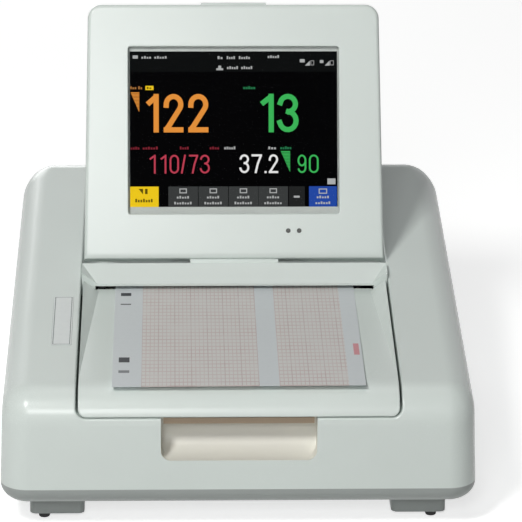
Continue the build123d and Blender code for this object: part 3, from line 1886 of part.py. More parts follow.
def power_button():
    """Push button at the rear, with a collar that stops it against the panel."""
    face = back_y - bay_depth + button_proud
    cap = rod_y(button_radius, face - button_length, face, button_x, connector_height)
    cap = fillet(cap.faces().sort_by(Axis.Y)[-1].edges(), button_gap * 2)
    collar_back = back_y - bay_depth - rear_panel_thickness - button_gap
    collar_radius = button_radius + button_collar_thickness
    return cap + rod_y(
        collar_radius, collar_back - button_collar_thickness, collar_back, button_x, connector_height
    )


def button_switch():
    """Switch body behind the power button, fixed to the rear panel by two legs."""
    panel_front = back_y - bay_depth - rear_panel_thickness
    face = back_y - bay_depth + button_proud
    stop = face - button_length - button_travel - button_gap
    reach = button_radius + button_collar_thickness + seat_gap
    outer = reach + button_collar_thickness
    body = block(
        (button_x - outer, stop - button_length, connector_height - outer),
        (button_x + outer, stop, connector_height + outer),
    )
    for side in (-1, 1):
        edges = sorted((button_x + side * reach, button_x + side * outer))
        body += block(
            (edges[0], stop - button_length, connector_height - outer),
            (edges[1], panel_front, connector_height + outer),
        )
    return body


# Chassis and electronics


def chassis_plate():
    """Bent sheet chassis on the base pan's bosses, with its folded edges and holes."""
    plate = block(
        (-chassis_half_width, -chassis_half_length, chassis_height),
        (chassis_half_width, chassis_half_length, chassis_top),
    )
    for side in (-1, 1):
        edges = sorted((side * chassis_half_width, side * (chassis_half_width - chassis_sheet)))
        plate += block(
            (edges[0], -chassis_half_length, chassis_height),
            (edges[1], chassis_half_length, chassis_height + chassis_flange),
        )
    for x, y in screw_places():
        hole = post_radius + chassis_hole_gap
        plate -= rod_z(hole, chassis_height - overrun, chassis_top + overrun, x, y)
    hole = speaker_radius + chassis_hole_gap
    plate -= rod_z(hole, chassis_height - overrun, chassis_top + overrun, 0, speaker_y)
    for x in (board_left_x + board_margin, board_left_x + board_width - board_margin):
        for y in (board_front_y + board_margin, board_front_y + board_length - board_margin):
            plate += rod_z(board_spacer_radius, chassis_top, board_height, x, y)
    return plate


def main_board():
    """Main circuit board on the chassis spacers, with its larger chips and connectors."""
    top = board_height + board_thickness
    board = block(
        (board_left_x, board_front_y, board_height),
        (board_left_x + board_width, board_front_y + board_length, top),
    )
    for column in range(3):
        for row in range(2):
            x = board_left_x + board_width * (column + 1) / 4
            y = board_front_y + board_length * (row + 1) / 3
            board += block(
                (x - chip_length / 2, y - chip_length / 2, top),
                (x + chip_length / 2, y + chip_length / 2, top + chip_thickness),
            )
    return board


def power_supply():
    """Power supply in a slotted metal cage on the chassis."""
    right_x = supply_left_x + supply_width
    high = chassis_top + supply_height
    cage = block(
        (supply_left_x, supply_front_y, chassis_top), (right_x, supply_front_y + supply_length, high)
    )
    span = (supply_slot_count - 1) * supply_slot_pitch
    for i in range(supply_slot_count):
        y = supply_front_y + supply_length / 2 - span / 2 + i * supply_slot_pitch
        low = chassis_top + (supply_height - supply_slot_height) / 2
        cage -= block(
            (right_x - supply_wall, y - supply_slot_width / 2, low),
            (right_x + overrun, y + supply_slot_width / 2, low + supply_slot_height),
        )
    return cage


def loudspeaker():
    """Loudspeaker facing down through the grille in the base pan."""
    low = pan_bottom_height + pan_wall
    rim_top = low + speaker_rim_thickness
    cone_top = rim_top + speaker_cone_depth
    speaker = rod_z(speaker_radius, low, rim_top, 0, speaker_y)
    cone = Cone(speaker_radius - speaker_rim_thickness, speaker_magnet_radius, speaker_cone_depth)
    speaker += Pos(0, speaker_y, (rim_top + cone_top) / 2) * cone
    magnet_top = cone_top + speaker_magnet_height
    return speaker + rod_z(speaker_magnet_radius, cone_top, magnet_top, 0, speaker_y)


def cuff_pump():
    """Air pump of the cuff channel: a motor and a pump head on a saddle."""
    low = chassis_top
    middle = low + pump_saddle_height + pump_radius
    back = pump_y + pump_length
    pump = rod_y(pump_radius, pump_y, back, pump_x, middle)
    pump += block(
        (pump_x - pump_radius, back - seat_gap, middle - pump_radius),
        (pump_x + pump_radius, back + pump_head_length, middle + pump_radius),
    )
    return pump + block(
        (pump_x - pump_radius, pump_y + pump_length / 4, low),
        (pump_x + pump_radius, back + pump_head_length, middle - pump_radius / 2),
    )


def all_nodes():
    """Every node of the part by name, in the casing's frame."""
    screen = screen_place()
    right_board = side_place(1) * side_board()
    return {
        "base_pan": base_pan(),
        "top_housing": top_housing(),
        "slot_bridge": slot_bridge(),
        "name_plate": name_plate(),
        "rubber_feet": rubber_feet(),
        "casing_screws": casing_screws(),
        "stand_inserts": stand_inserts(),
        "sensor_panel": sensor_panel(),
        "sensor_sockets": sensor_sockets(),
        "sensor_board": right_board,
        "vitals_panel": vitals_panel(),
        "cuff_socket": cuff_socket(),
        "oximetry_socket": oximetry_socket(),
        "vitals_board": mirrored(right_board),
        "rear_panel": rear_panel(),
        "mains_inlet": mains_inlet(),
        "network_sockets": network_sockets(),
        "earth_post": earth_post(),
        "power_button": power_button(),
        "button_switch": button_switch(),
        "chassis_plate": chassis_plate(),
        "main_board": main_board(),
        "power_supply": power_supply(),
        "loudspeaker": loudspeaker(),
        "cuff_pump": cuff_pump(),
        "left_rail": rail(-1),
        "right_rail": rail(1),
        "recorder_frame": recorder_frame(),
        "print_head": print_head(),
        "head_bracket": head_bracket(),
        "head_springs": head_springs(),
        "gear_studs": gear_studs(),
        "recorder_motor": recorder_motor(),
        "motor_shaft": motor_shaft(),
        "motor_pinion": spur_gear(3, motor_shaft_radius + fit_gap),
        "lower_idler": spur_gear(2, gear_stud_radius + pivot_gap),
        "upper_idler": spur_gear(1, gear_stud_radius + pivot_gap),
        "platen_gear": spur_gear(0, platen_shaft_radius + fit_gap),
        "platen_shaft": platen_shaft(),
        "platen_roller": platen_roller(),
        "platen_bushes": platen_bushes(),
        "drawer_cover": drawer_cover(),
        "drawer_tray": drawer_tray(),
        "paper_pack": paper_pack(),
        "chart_paper": chart_paper(),
        "lever_pin": lever_pin(),
        "release_lever": release_lever(),
        "hinge_blocks": hinge_blocks(),
        "hinge_pin": hinge_pin(),
        "hinge_arm": screen * hinge_arm(),
        "screen_bezel": screen * screen_bezel(),
        "screen_back": screen * screen_back(),
        "screen_screws": screen * screen_screws(),
        "touch_panel": screen * touch_panel(),
        "lcd_cell": screen * lcd_cell(),
        "lcd_frame": screen * lcd_frame(),
        "screen_board": screen * screen_board(),
        "indicator_lenses": screen * indicator_lenses(),
        "catch_button": screen * catch_button(),
        "catch_springs": screen * catch_springs(),
    }


def main():
    os.makedirs("parts", exist_ok=True)
    for name, shape in all_nodes().items():
        export_step(shape, "parts/" + name + ".step")


main()
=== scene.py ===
# %% [markdown]
# # A desktop fetal monitor
# The casing, the fold-flat screen, the paper drawer and every moving piece are finished solids that come from CAD.
# Here they get their looks: moulded plastic with its fine grain, printed chart paper, a lit touch screen, rubber,
# steel and circuit boards. The frame is loaded first.

import json
from math import cos, radians, sin

import bpy
from mathutils import Matrix, Vector

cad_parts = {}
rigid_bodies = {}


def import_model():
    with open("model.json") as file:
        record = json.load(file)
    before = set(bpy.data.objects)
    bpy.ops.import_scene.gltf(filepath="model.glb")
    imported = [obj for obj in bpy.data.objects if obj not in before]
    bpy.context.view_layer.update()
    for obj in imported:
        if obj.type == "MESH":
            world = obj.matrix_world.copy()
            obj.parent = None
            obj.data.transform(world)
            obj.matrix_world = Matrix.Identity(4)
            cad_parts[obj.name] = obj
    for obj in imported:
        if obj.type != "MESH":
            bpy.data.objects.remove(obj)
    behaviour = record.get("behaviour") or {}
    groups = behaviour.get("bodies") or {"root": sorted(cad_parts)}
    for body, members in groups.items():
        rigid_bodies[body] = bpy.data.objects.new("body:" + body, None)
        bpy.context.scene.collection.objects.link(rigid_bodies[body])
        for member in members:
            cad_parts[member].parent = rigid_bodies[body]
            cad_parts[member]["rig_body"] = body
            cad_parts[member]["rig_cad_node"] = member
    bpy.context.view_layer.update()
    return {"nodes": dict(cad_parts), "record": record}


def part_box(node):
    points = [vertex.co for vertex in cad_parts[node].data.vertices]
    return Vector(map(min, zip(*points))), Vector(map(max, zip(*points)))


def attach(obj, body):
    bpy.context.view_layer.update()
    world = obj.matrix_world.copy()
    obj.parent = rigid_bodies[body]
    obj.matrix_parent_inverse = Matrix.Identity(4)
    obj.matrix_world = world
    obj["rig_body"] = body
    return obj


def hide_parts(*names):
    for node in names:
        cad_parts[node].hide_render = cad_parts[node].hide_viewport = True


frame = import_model()
MM = 0.001

# %% [markdown]
# ## Camera
# The photograph was taken from far away with a long lens, from the front, a little to the left and about twenty
# degrees above. The camera's place and lens were worked out from edges of known length on the casing, so the
# picture has the same perspective. The camera is turned by a matrix, because a tiny roll can't be given as a target.

# %% Camera
SENSOR_WIDTH, FOCAL_LENGTH, FAR_CLIP = 36.0, 218.97, 20.0
CAMERA_PLACE = (-38.865, -1903.382, 803.928)
TURN, TIP, ROLL = radians(1.685), radians(19.95), radians(0.418)

camera_data = bpy.data.cameras.new("long_lens")
camera_data.sensor_width = SENSOR_WIDTH
camera_data.lens = FOCAL_LENGTH
camera_data.clip_end = FAR_CLIP
camera = bpy.data.objects.new("photographer", camera_data)
bpy.context.scene.collection.objects.link(camera)
ahead = Vector((sin(TURN) * cos(TIP), cos(TURN) * cos(TIP), -sin(TIP)))
level = Vector((cos(TURN), -sin(TURN), 0.0))
above = level.cross(ahead)
across = cos(ROLL) * level + sin(ROLL) * above
upward = -sin(ROLL) * level + cos(ROLL) * above
pose = Matrix((across, upward, -ahead)).transposed().to_4x4()
pose.translation = Vector(CAMERA_PLACE) * MM
camera.matrix_world = pose
bpy.context.scene.camera = camera
print("camera at", [round(value, 3) for value in camera.location])

# %% [markdown]
# ## Light
# The screen throws a fairly crisp shadow on the right shoulder. Its edge gives the key lamp's direction, 27 degrees
# left of straight ahead and 45 degrees up, and says that the lamp is small. A soft box hangs where the left of the
# screen's frame mirrors it and leaves a pale sheen there. A broad one overhead fills the shadows, and one low behind
# lights the back.

# %% Lamps
OBJECT_MIDDLE = (0.0, 0.0, 0.12)
PLAIN_WHITE, WARM_WHITE = (1.0, 1.0, 1.0), (1.0, 0.99, 0.97)
KEY_POWER, TOP_POWER, SHEEN_POWER, BACK_POWER = 16.5, 3.6, 8.4, 5.6


def soft_lamp(name, place, size, power, tint=PLAIN_WHITE):
    """Adds a square soft box at a place, turned to face the object's middle."""
    data = bpy.data.lights.new(name, "AREA")
    data.shape = "SQUARE"
    data.size = size
    data.energy = power
    data.color = tint
    lamp = bpy.data.objects.new(name, data)
    bpy.context.scene.collection.objects.link(lamp)
    lamp.location = place
    lamp.rotation_euler = (Vector(OBJECT_MIDDLE) - Vector(place)).to_track_quat("-Z", "Y").to_euler()


soft_lamp("key_lamp", (-0.577, -1.132, 1.39), 0.30, KEY_POWER, WARM_WHITE)
soft_lamp("top_lamp", (0.0, 0.2, 2.4), 1.0, TOP_POWER)
soft_lamp("sheen_lamp", (-0.25, -1.9, 1.05), 0.40, SHEEN_POWER)
soft_lamp("back_lamp", (-0.5, 2.0, 0.62), 0.80, BACK_POWER)
print("lamp powers:", KEY_POWER, TOP_POWER, SHEEN_POWER, BACK_POWER)

# %% [markdown]
# ### White room
# The object stands on a white sweep in a white room. A world as bright as white would also light the object flat, so
# what is seen and what gives light are kept apart. Light Path tells which rays come straight from the camera or were
# sent on by gloss or glass. Those see white, and all others get the small strength that lights the object.

# %% White world
ROOM_LIGHT, SKY_COLOR = 0.02, (0.985, 0.995, 1.0, 1.0)


def seen_strength(tree, seen_value, light_value):
    """Builds a strength with one value for what is seen, directly or in gloss or glass, and one for lighting."""
    paths = tree.nodes.new("ShaderNodeLightPath")
    total = paths.outputs["Is Camera Ray"]
    for ray in ("Is Glossy Ray", "Is Transmission Ray"):
        either = tree.nodes.new("ShaderNodeMath")
        either.operation = "MAXIMUM"
        tree.links.new(total, either.inputs[0])
        tree.links.new(paths.outputs[ray], either.inputs[1])
        total = either.outputs[0]
    strength = tree.nodes.new("ShaderNodeMapRange")
    strength.inputs["To Min"].default_value = light_value
    strength.inputs["To Max"].default_value = seen_value
    tree.links.new(total, strength.inputs["Value"])
    return strength.outputs[0]


world = bpy.data.worlds.new("white_room")
world.use_nodes = True
bpy.context.scene.world = world
sky = world.node_tree.nodes["Background"]
sky.inputs["Color"].default_value = SKY_COLOR
world.node_tree.links.new(seen_strength(world.node_tree, 1.0, ROOM_LIGHT), sky.inputs["Strength"])
bpy.context.scene.view_settings.view_transform = "Standard"
print("room light:", ROOM_LIGHT)

# %% [markdown]
# ### Floor
# The floor is one large plane. It glows only for rays that see it, so it comes out nearly white and still shows the
# object's soft shadow, and it has no gloss that would mirror the feet.

# %% Floor
FLOOR_SIZE, FLOOR_PLACE = 8.0, (0.0, 1.0, 0.0)
SWEEP_GLOW = 0.70
SWEEP_LOOK = {
    "Base Color": (0.80, 0.81, 0.81, 1.0), "Roughness": 0.9, "Specular IOR Level": 0.0,
    "Emission Color": (1.0, 1.0, 1.0, 1.0),
}

bpy.ops.object.select_all(action="DESELECT")
bpy.ops.mesh.primitive_plane_add(size=FLOOR_SIZE, location=FLOOR_PLACE)
floor = bpy.context.object
floor.name = "floor"
bpy.ops.object.transform_apply(location=True)
white_sweep = bpy.data.materials.new("white_sweep")
white_sweep.use_nodes = True
sweep_tree = white_sweep.node_tree
sweep = sweep_tree.nodes["Principled BSDF"]
for socket, value in SWEEP_LOOK.items():
    sweep.inputs[socket].default_value = value
sweep_tree.links.new(seen_strength(sweep_tree, SWEEP_GLOW, 0.0), sweep.inputs["Emission Strength"])
floor.data.materials.append(white_sweep)
print("floor of", FLOOR_SIZE, "m with a glow of", SWEEP_GLOW)

# %% [markdown]
# ## Writing shader maths as sums
# Every finish below is procedural. A node graph for a printed grid or a grained plastic is mostly arithmetic, so a
# small class wraps a socket and turns Python's operators into Math nodes. Anything that isn't arithmetic goes
# through one method that takes the node's type, its settings and its inputs.

# %% Sockets that can be added and multiplied


class Value:
    """A shader socket that takes part in Python sums."""

    def __init__(self, finish, socket):
        self.finish, self.socket = finish, socket

    def __add__(self, other):
        return self.finish.sum("ADD", self, other)

    def __sub__(self, other):
        return self.finish.sum("SUBTRACT", self, other)

    def __rsub__(self, other):
        return self.finish.sum("SUBTRACT", other, self)

    def __mul__(self, other):
        return self.finish.sum("MULTIPLY", self, other)

    def __gt__(self, other):
        return self.finish.sum("GREATER_THAN", self, other)

    def __lt__(self, other):
        return self.finish.sum("LESS_THAN", self, other)

    __radd__ = __add__
    __rmul__ = __mul__


class Finish:
    """One material, built up from a Principled shader and sums of sockets."""

    # The Mix node's own numbers for its colour sockets.
    SHARE, FIRST, SECOND, MIXED = 0, 6, 7, 2

    def __init__(self, name, color, roughness=0.5, metallic=0.0, **constants):
        self.material = bpy.data.materials.new(name)
        self.material.use_nodes = True
        self.tree = self.material.node_tree
        self.shader = self.tree.nodes["Principled BSDF"]
        self.set("Base Color", (*color, 1.0))
        self.set("Roughness", roughness)
        self.set("Metallic", metallic)
        for socket, value in constants.items():
            self.set(socket.replace("_", " "), value)

    def set(self, socket, value):
        """Sets one of the shader's sockets to a constant, or links a value to it."""
        self.feed(self.shader.inputs[socket], value)

    def feed(self, target, value):
        """Links a value to a socket, or writes a number or colour on it."""
        if isinstance(value, Value):
            self.tree.links.new(value.socket, target)
        else:
            target.default_value = value

    def node(self, kind, settings=None, inputs=None, output=0):
        """Adds any node: its settings first, then the values or links of its sockets."""
        added = self.tree.nodes.new("ShaderNode" + kind)
        for key, value in (settings or {}).items():
            setattr(added, key, value)
        for key, value in (inputs or {}).items():
            self.feed(added.inputs[key], value)
        return Value(self, added.outputs[output])

    def sum(self, operation, *values):
        """Adds one Math node."""
        return self.node("Math", {"operation": operation}, dict(enumerate(values)))

    def blend(self, share, first, second):
        """Mixes two colours by a share from 0 to 1."""
        first, second = (color if isinstance(color, Value) else (*color, 1.0) for color in (first, second))
        inputs = {self.SHARE: share, self.FIRST: first, self.SECOND: second}
        return self.node("Mix", {"data_type": "RGBA"}, inputs, output=self.MIXED)

    def point(self):
        """The point on the object, in metres."""
        return self.node("TexCoord", output="Object")

    def place(self):
        """The same point as its three numbers."""
        point = self.point()
        return [self.node("SeparateXYZ", inputs={0: point}, output=axis) for axis in range(3)]

    def noise(self, cells, detail=3.0):
        """Soft random values from 0 to 1, with so many cells per metre."""
        return self.node("TexNoise", inputs={"Vector": self.point(), "Scale": cells, "Detail": detail})

    def bump(self, height, strength, distance):
        """Feeds a height in 0 to 1 to the shader's normal, with its real depth in metres."""
        inputs = {"Height": height, "Strength": strength, "Distance": distance}
        self.set("Normal", self.node("Bump", inputs=inputs))


# %% [markdown]
# ## Moulded plastic
# The casing is injection-moulded ABS in a cool off-white, with a fine spark-eroded grain that breaks up its
# highlights. Two things make it read as plastic: a grain bump of two hundredths of a millimetre, and a tone and gloss
# that drift slightly over a large panel. The base pan is the same plastic in mid grey. One function makes them all,
# since only the colour and the gloss differ.

# %% Grained plastics
PANEL_CELLS, GRAIN_CELLS = 9.0, 2600.0
GRAIN_DEPTH = 0.00002


def grained_plastic(name, color, roughness, drift=0.03):
    """ABS with a fine grain, and a tone and gloss that drift by a few hundredths."""
    finish = Finish(name, color, roughness)
    slow = finish.noise(PANEL_CELLS, detail=2.0)
    fine = finish.noise(GRAIN_CELLS, detail=1.0)
    paler = [min(1.0, part * (1.0 + drift)) for part in color]
    darker = [part * (1.0 - drift) for part in color]
    finish.set("Base Color", finish.blend(slow, darker, paler))
    finish.set("Roughness", roughness - 0.05 + slow * 0.06 + fine * 0.04)
    finish.bump(fine, strength=0.35, distance=GRAIN_DEPTH)
    return finish.material


housing = grained_plastic("housing_abs", (0.70, 0.765, 0.735), 0.26)
recess_cream = grained_plastic("recess_abs", (0.775, 0.77, 0.705), 0.42)
# The frame round the picture cell is darker than the casing as painted shade, for the shadow that the window's rim
# casts on its top strip.
frame_with_painted_shade = grained_plastic("painted_shade_frame_abs", (0.58, 0.625, 0.60), 0.50)
base_grey = grained_plastic("base_abs", (0.335, 0.362, 0.352), 0.42)
panel_grey = grained_plastic("panel_abs", (0.60, 0.635, 0.625), 0.40)
tray_beige = grained_plastic("tray_abs", (0.52, 0.47, 0.38), 0.42)
lever_brown = grained_plastic("lever_abs", (0.41, 0.31, 0.215), 0.40)
black_nylon = grained_plastic("black_nylon", (0.018, 0.018, 0.02), 0.38, drift=0.2)
print("plastics from", housing.name, "to", black_nylon.name)

# %% [markdown]
# ## Rubber and metals
# The feet and the platen roller are black rubber, which is matt and a little dusty. Behind the screen and through
# the sockets some metal shows: turned steel, folded zinc-plated sheet, aluminium and brass contacts. Metals differ in
# colour, gloss and the size of their grain, so one function takes those three.

# %% Rubber and metals
DULLEST_GRAIN = 0.86


def rubber_finish():
    """Matt black rubber with a dusty bloom."""
    finish = Finish("black_rubber", (0.02, 0.02, 0.021), 0.72)
    bloom = finish.noise(260.0, detail=4.0)
    finish.set("Base Color", finish.blend(bloom, (0.012, 0.012, 0.013), (0.045, 0.045, 0.046)))
    finish.set("Roughness", 0.62 + bloom * 0.2)
    finish.bump(bloom, strength=0.3, distance=0.00005)
    return finish.material


def metal_finish(name, color, roughness, cells):
    """Bare metal whose gloss and tone vary from grain to grain."""
    finish = Finish(name, color, roughness, 1.0)
    grain = finish.noise(cells, detail=3.0)
    finish.set("Base Color", finish.blend(grain, [part * DULLEST_GRAIN for part in color], color))
    finish.set("Roughness", roughness - 0.06 + grain * 0.14)
    finish.bump(grain, strength=0.2, distance=0.00002)
    return finish.material


rubber = rubber_finish()
steel = metal_finish("turned_steel", (0.62, 0.63, 0.65), 0.28, 1800.0)
sheet_metal = metal_finish("zinc_sheet", (0.60, 0.62, 0.64), 0.40, 220.0)
aluminium = metal_finish("plain_aluminium", (0.78, 0.79, 0.80), 0.36, 900.0)
brass = metal_finish("plated_brass", (0.80, 0.63, 0.30), 0.30, 1500.0)
print("rubber and metals:", rubber.name, steel.name, sheet_metal.name, aluminium.name, brass.name)

# %% [markdown]
# ## Circuit boards
# The boards inside are green solder mask over a lattice of copper tracks. Modelled tracks would cost thousands of
# faces that hardly show, so they are ruled in the shader. A ping-pong of the distance gives lines at a pitch, and the
# chart paper and the screen use the same helper later.

# %% Circuit boards
TRACK_PITCH, TRACK_WIDTH = 0.0032, 0.0006


def ruled(finish, along, pitch, width):
    """1 on lines of a width that repeat at a pitch, all in metres, else 0."""
    return finish.sum("PINGPONG", along, pitch / 2) < width / 2


def board_finish():
    """Green solder mask over a lattice of tracks."""
    finish = Finish("circuit_board", (0.02, 0.16, 0.07), 0.35)
    x, y, z = finish.place()
    track = ruled(finish, x + y + z, TRACK_PITCH, TRACK_WIDTH)
    finish.set("Base Color", finish.blend(track, (0.015, 0.13, 0.055), (0.04, 0.24, 0.10)))
    finish.bump(track, strength=0.4, distance=0.00004)
    return finish.material


board = board_finish()
print("tracks every", TRACK_PITCH / MM, "mm")

# %% [markdown]
# ## Chart paper
# Cardiotocograph paper is about 150 mm wide. It carries a scale of about 70 mm for the heart rate and one of about
# 40 mm for the contractions, both ruled in pale red with bolder lines, and a plain strip between them. Black
# registration marks run along the left margin, and one red mark stands on the right. All of that is ruled with sums
# on the object's own metres, so it lies exactly where a real print would and stays sharp at any size.

# %% Grid and marks on the paper
RATE_SCALE, CONTRACTION_SCALE = (-0.058, 0.0122), (0.0242, 0.0655)
GRID_LEFT, GRID_START = 0.058, 0.0035
FINE_ACROSS, FINE_ALONG = (0.0025, 0.00045), (0.005, 0.0011)
BOLD_ACROSS, BOLD_ALONG = (0.01, 0.0006), (0.03, 0.0005)
MARGIN_X, MARGIN_WIDTH = -68.6, 6.5
MARGIN_MARKS = ((-26.4, 4.6, 1.0), (-41.4, 1.6, 0.9), (-122.2, 7.0, 1.0), (-138.5, 3.6, 0.72))
RED_MIDDLE, RED_SIZE = (72.3, -108.7), (3.4, 16.0)


def between(value, low, high):
    """1 where a value lies between two limits, else 0."""
    return (value > low) * (value < high)


def grid(finish, x, y, across_paper, along_paper):
    """1 on the lines of a grid; each direction has a pitch and a line width in metres."""
    lines_across = ruled(finish, x + GRID_LEFT, *across_paper)
    return finish.sum("MAXIMUM", lines_across, ruled(finish, y + GRID_START, *along_paper))


def mark(x, y, middle, size):
    """1 inside one printed rectangle, given by its middle and size in millimetres."""
    half_width, half_length = size[0] * MM / 2, size[1] * MM / 2
    across_mark = between(x, middle[0] * MM - half_width, middle[0] * MM + half_width)
    return across_mark * between(y, middle[1] * MM - half_length, middle[1] * MM + half_length)


print("scales:", [round((high - low) / MM, 1) for low, high in (RATE_SCALE, CONTRACTION_SCALE)], "mm wide")

# %% [markdown]
# ### Ink on paper
# The paper comes first, from two tones that its fibres mix, and each ink is then mixed over what is there. A slow
# noise thins the pale red, since thermal paper's grid is never printed evenly.

# %% Ruled paper


def ruled_ground(finish, x, y, fibre):
    """The paper's own colour, the tint of its two scales, and their fine and bold lines."""
    area = finish.sum("MAXIMUM", between(x, *RATE_SCALE), between(x, *CONTRACTION_SCALE))
    fine = grid(finish, x, y, FINE_ACROSS, FINE_ALONG)
    bold = grid(finish, x, y, BOLD_ACROSS, BOLD_ALONG)
    faded = finish.noise(60.0, detail=2.0)
    ground = finish.blend(fibre, (0.635, 0.675, 0.695), (0.68, 0.72, 0.735))
    tinted = finish.blend(area * 0.85, ground, (0.685, 0.675, 0.65))
    lined = finish.blend(area * fine * (faded * 0.95), tinted, (0.56, 0.40, 0.40))
    return finish.blend(area * bold * (0.05 + faded * 0.50), lined, (0.47, 0.36, 0.36))


def chart_print():
    """Thermal paper with two ruled scales, margins and registration marks."""
    finish = Finish("chart_paper_print", (0.80, 0.82, 0.86), 0.62)
    x, y, _ = finish.place()
    fibre = finish.noise(420.0, detail=4.0)
    black = 0.0
    for middle_y, length, share in MARGIN_MARKS:
        printed = share * mark(x, y, (MARGIN_X, middle_y), (MARGIN_WIDTH, length))
        black = finish.sum("MAXIMUM", black, printed)
    inked = finish.blend(black * 0.97, ruled_ground(finish, x, y, fibre), (0.015, 0.017, 0.022))
    red = mark(x, y, RED_MIDDLE, RED_SIZE)
    finish.set("Base Color", finish.blend(red * 0.75, inked, (0.62, 0.16, 0.19)))
    finish.set("Roughness", 0.56 + fibre * 0.1)
    finish.bump(fibre, strength=0.15, distance=0.00003)
    return finish.material


paper = chart_print()
print("paper printed with", len(MARGIN_MARKS), "black marks")

# %% [markdown]
# ### Folded pack
# The pack in the drawer is the same paper, folded hundreds of times. Its sides show the edges of the sheets, which
# are lines at a very small pitch in height, ruled as the grid is.

# %% Folded pack
SHEET_PITCH, SHEET_LINE = 0.00016, 0.00005


def pack_edges():
    """Paper with hundreds of sheet edges on its sides."""
    finish = Finish("paper_pack_edges", (0.84, 0.84, 0.83), 0.7)
    sheets = ruled(finish, finish.place()[2], SHEET_PITCH, SHEET_LINE)
    tone = finish.noise(120.0, detail=3.0)
    pale = finish.blend(tone, (0.78, 0.78, 0.78), (0.84, 0.84, 0.83))
    finish.set("Base Color", finish.blend(sheets * 0.4, pale, (0.52, 0.51, 0.50)))
    finish.bump(sheets, strength=0.3, distance=0.00005)
    return finish.material


paper_stack = pack_edges()
print("a sheet every", SHEET_PITCH / MM, "mm")

# %% [markdown]
# ## Glass, picture cell and light pipes
# The touch panel is clear glass with a matt coating, so what shows is the black picture cell behind it with a
# slight haze. A see-through coat does this better than refracting glass, which would only add noise. The cell is
# nearly black, and the two indicators beside it are smoked plastic.

# %% Glass and lenses


def panel_glass():
    """Nearly clear, slightly hazy coating of the touch panel."""
    finish = Finish("touch_glass", (0.02, 0.02, 0.022), 0.28, Alpha=0.03, Specular_IOR_Level=0.03)
    haze = finish.noise(900.0, detail=2.0)
    finish.set("Roughness", 0.24 + haze * 0.08)
    return finish.material


def cell_black():
    """Unlit liquid-crystal cell: near black, and uneven by the faintest amount."""
    finish = Finish("picture_cell", (0.0004, 0.0004, 0.0007), 0.32, Specular_IOR_Level=0.0)
    uneven = finish.noise(14.0, detail=1.0)
    finish.set("Base Color", finish.blend(uneven, (0.0002, 0.0002, 0.0004), (0.0008, 0.0008, 0.0012)))
    return finish.material


def smoked_lens():
    """Dark smoked light pipe."""
    finish = Finish("smoked_lens", (0.05, 0.055, 0.05), 0.16, Coat_Weight=0.5)
    cloud = finish.noise(500.0)
    finish.set("Base Color", finish.blend(cloud, (0.035, 0.04, 0.036), (0.075, 0.08, 0.072)))
    return finish.material


glass, cell, lens = panel_glass(), cell_black(), smoked_lens()
print("screen finishes:", glass.name, cell.name, lens.name)

# %% [markdown]
# ## Name plate
# The bare plate on the left shoulder is a thin printed label with a fine dark line just inside its edge. The line is
# worked out from the plate's own box, so it keeps its distance from the edge all round.

# %% Bordered label
BORDER_INSET, BORDER_WIDTH = 0.0007, 0.0005


def plate_finish(node):
    """Pale satin label with a fine border line, on the box of one node."""
    low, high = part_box(node)
    finish = Finish("plate_label", (0.72, 0.76, 0.75), 0.30)
    x, y, _ = finish.place()
    from_side = finish.sum("MINIMUM", x - low[0], high[0] - x)
    from_end = finish.sum("MINIMUM", y - low[1], high[1] - y)
    edge = finish.sum("MINIMUM", from_side, from_end)
    line = between(edge, BORDER_INSET, BORDER_INSET + BORDER_WIDTH)
    sheen = finish.noise(300.0, detail=2.0)
    ground = finish.blend(sheen, (0.70, 0.745, 0.74), (0.76, 0.80, 0.79))
    finish.set("Base Color", finish.blend(line, ground, (0.16, 0.19, 0.19)))
    finish.set("Roughness", 0.26 + sheen * 0.08)
    return finish.material


plate_label = plate_finish("name_plate")
print("border line", BORDER_WIDTH / MM, "mm wide")

# %% [markdown]
# ## Finishes on the CAD nodes
# Nodes whose shape is right as it is just get a finish. The list goes by node, since one record slot holds pieces
# that look different up close, such as the zinc cage of the power supply and the pump.

# %% Assign finishes
FINISHES = {
    "base_pan": base_grey, "top_housing": housing, "slot_bridge": housing, "name_plate": plate_label,
    "rubber_feet": rubber, "casing_screws": steel, "stand_inserts": brass, "sensor_panel": panel_grey,
    "sensor_sockets": black_nylon, "sensor_board": board, "vitals_panel": panel_grey, "cuff_socket": tray_beige,
    "oximetry_socket": black_nylon, "vitals_board": board, "rear_panel": panel_grey, "mains_inlet": black_nylon,
    "network_sockets": sheet_metal, "earth_post": brass, "power_button": black_nylon,
    "button_switch": black_nylon, "chassis_plate": sheet_metal, "main_board": board, "power_supply": sheet_metal,
    "loudspeaker": black_nylon, "cuff_pump": black_nylon, "left_rail": tray_beige, "right_rail": tray_beige,
    "recorder_frame": sheet_metal, "print_head": aluminium, "head_bracket": sheet_metal, "head_springs": steel,
    "gear_studs": steel, "recorder_motor": black_nylon, "motor_shaft": steel, "motor_pinion": brass,
    "lower_idler": black_nylon, "upper_idler": black_nylon, "platen_gear": black_nylon, "platen_shaft": steel,
    "platen_roller": rubber, "platen_bushes": black_nylon, "drawer_cover": housing, "drawer_tray": tray_beige,
    "paper_pack": paper_stack, "chart_paper": paper, "lever_pin": steel, "release_lever": lever_brown,
    "hinge_blocks": black_nylon, "hinge_pin": steel, "hinge_arm": housing, "screen_bezel": housing,
    "screen_back": housing, "screen_screws": steel, "touch_panel": glass, "lcd_cell": cell,
    "lcd_frame": frame_with_painted_shade, "screen_board": board, "indicator_lenses": lens, "catch_button": housing,
    "catch_springs": steel,
}
for name, node in frame["nodes"].items():
    node.data.materials.clear()
    node.data.materials.append(FINISHES[name])
print("finished", len(FINISHES), "nodes")

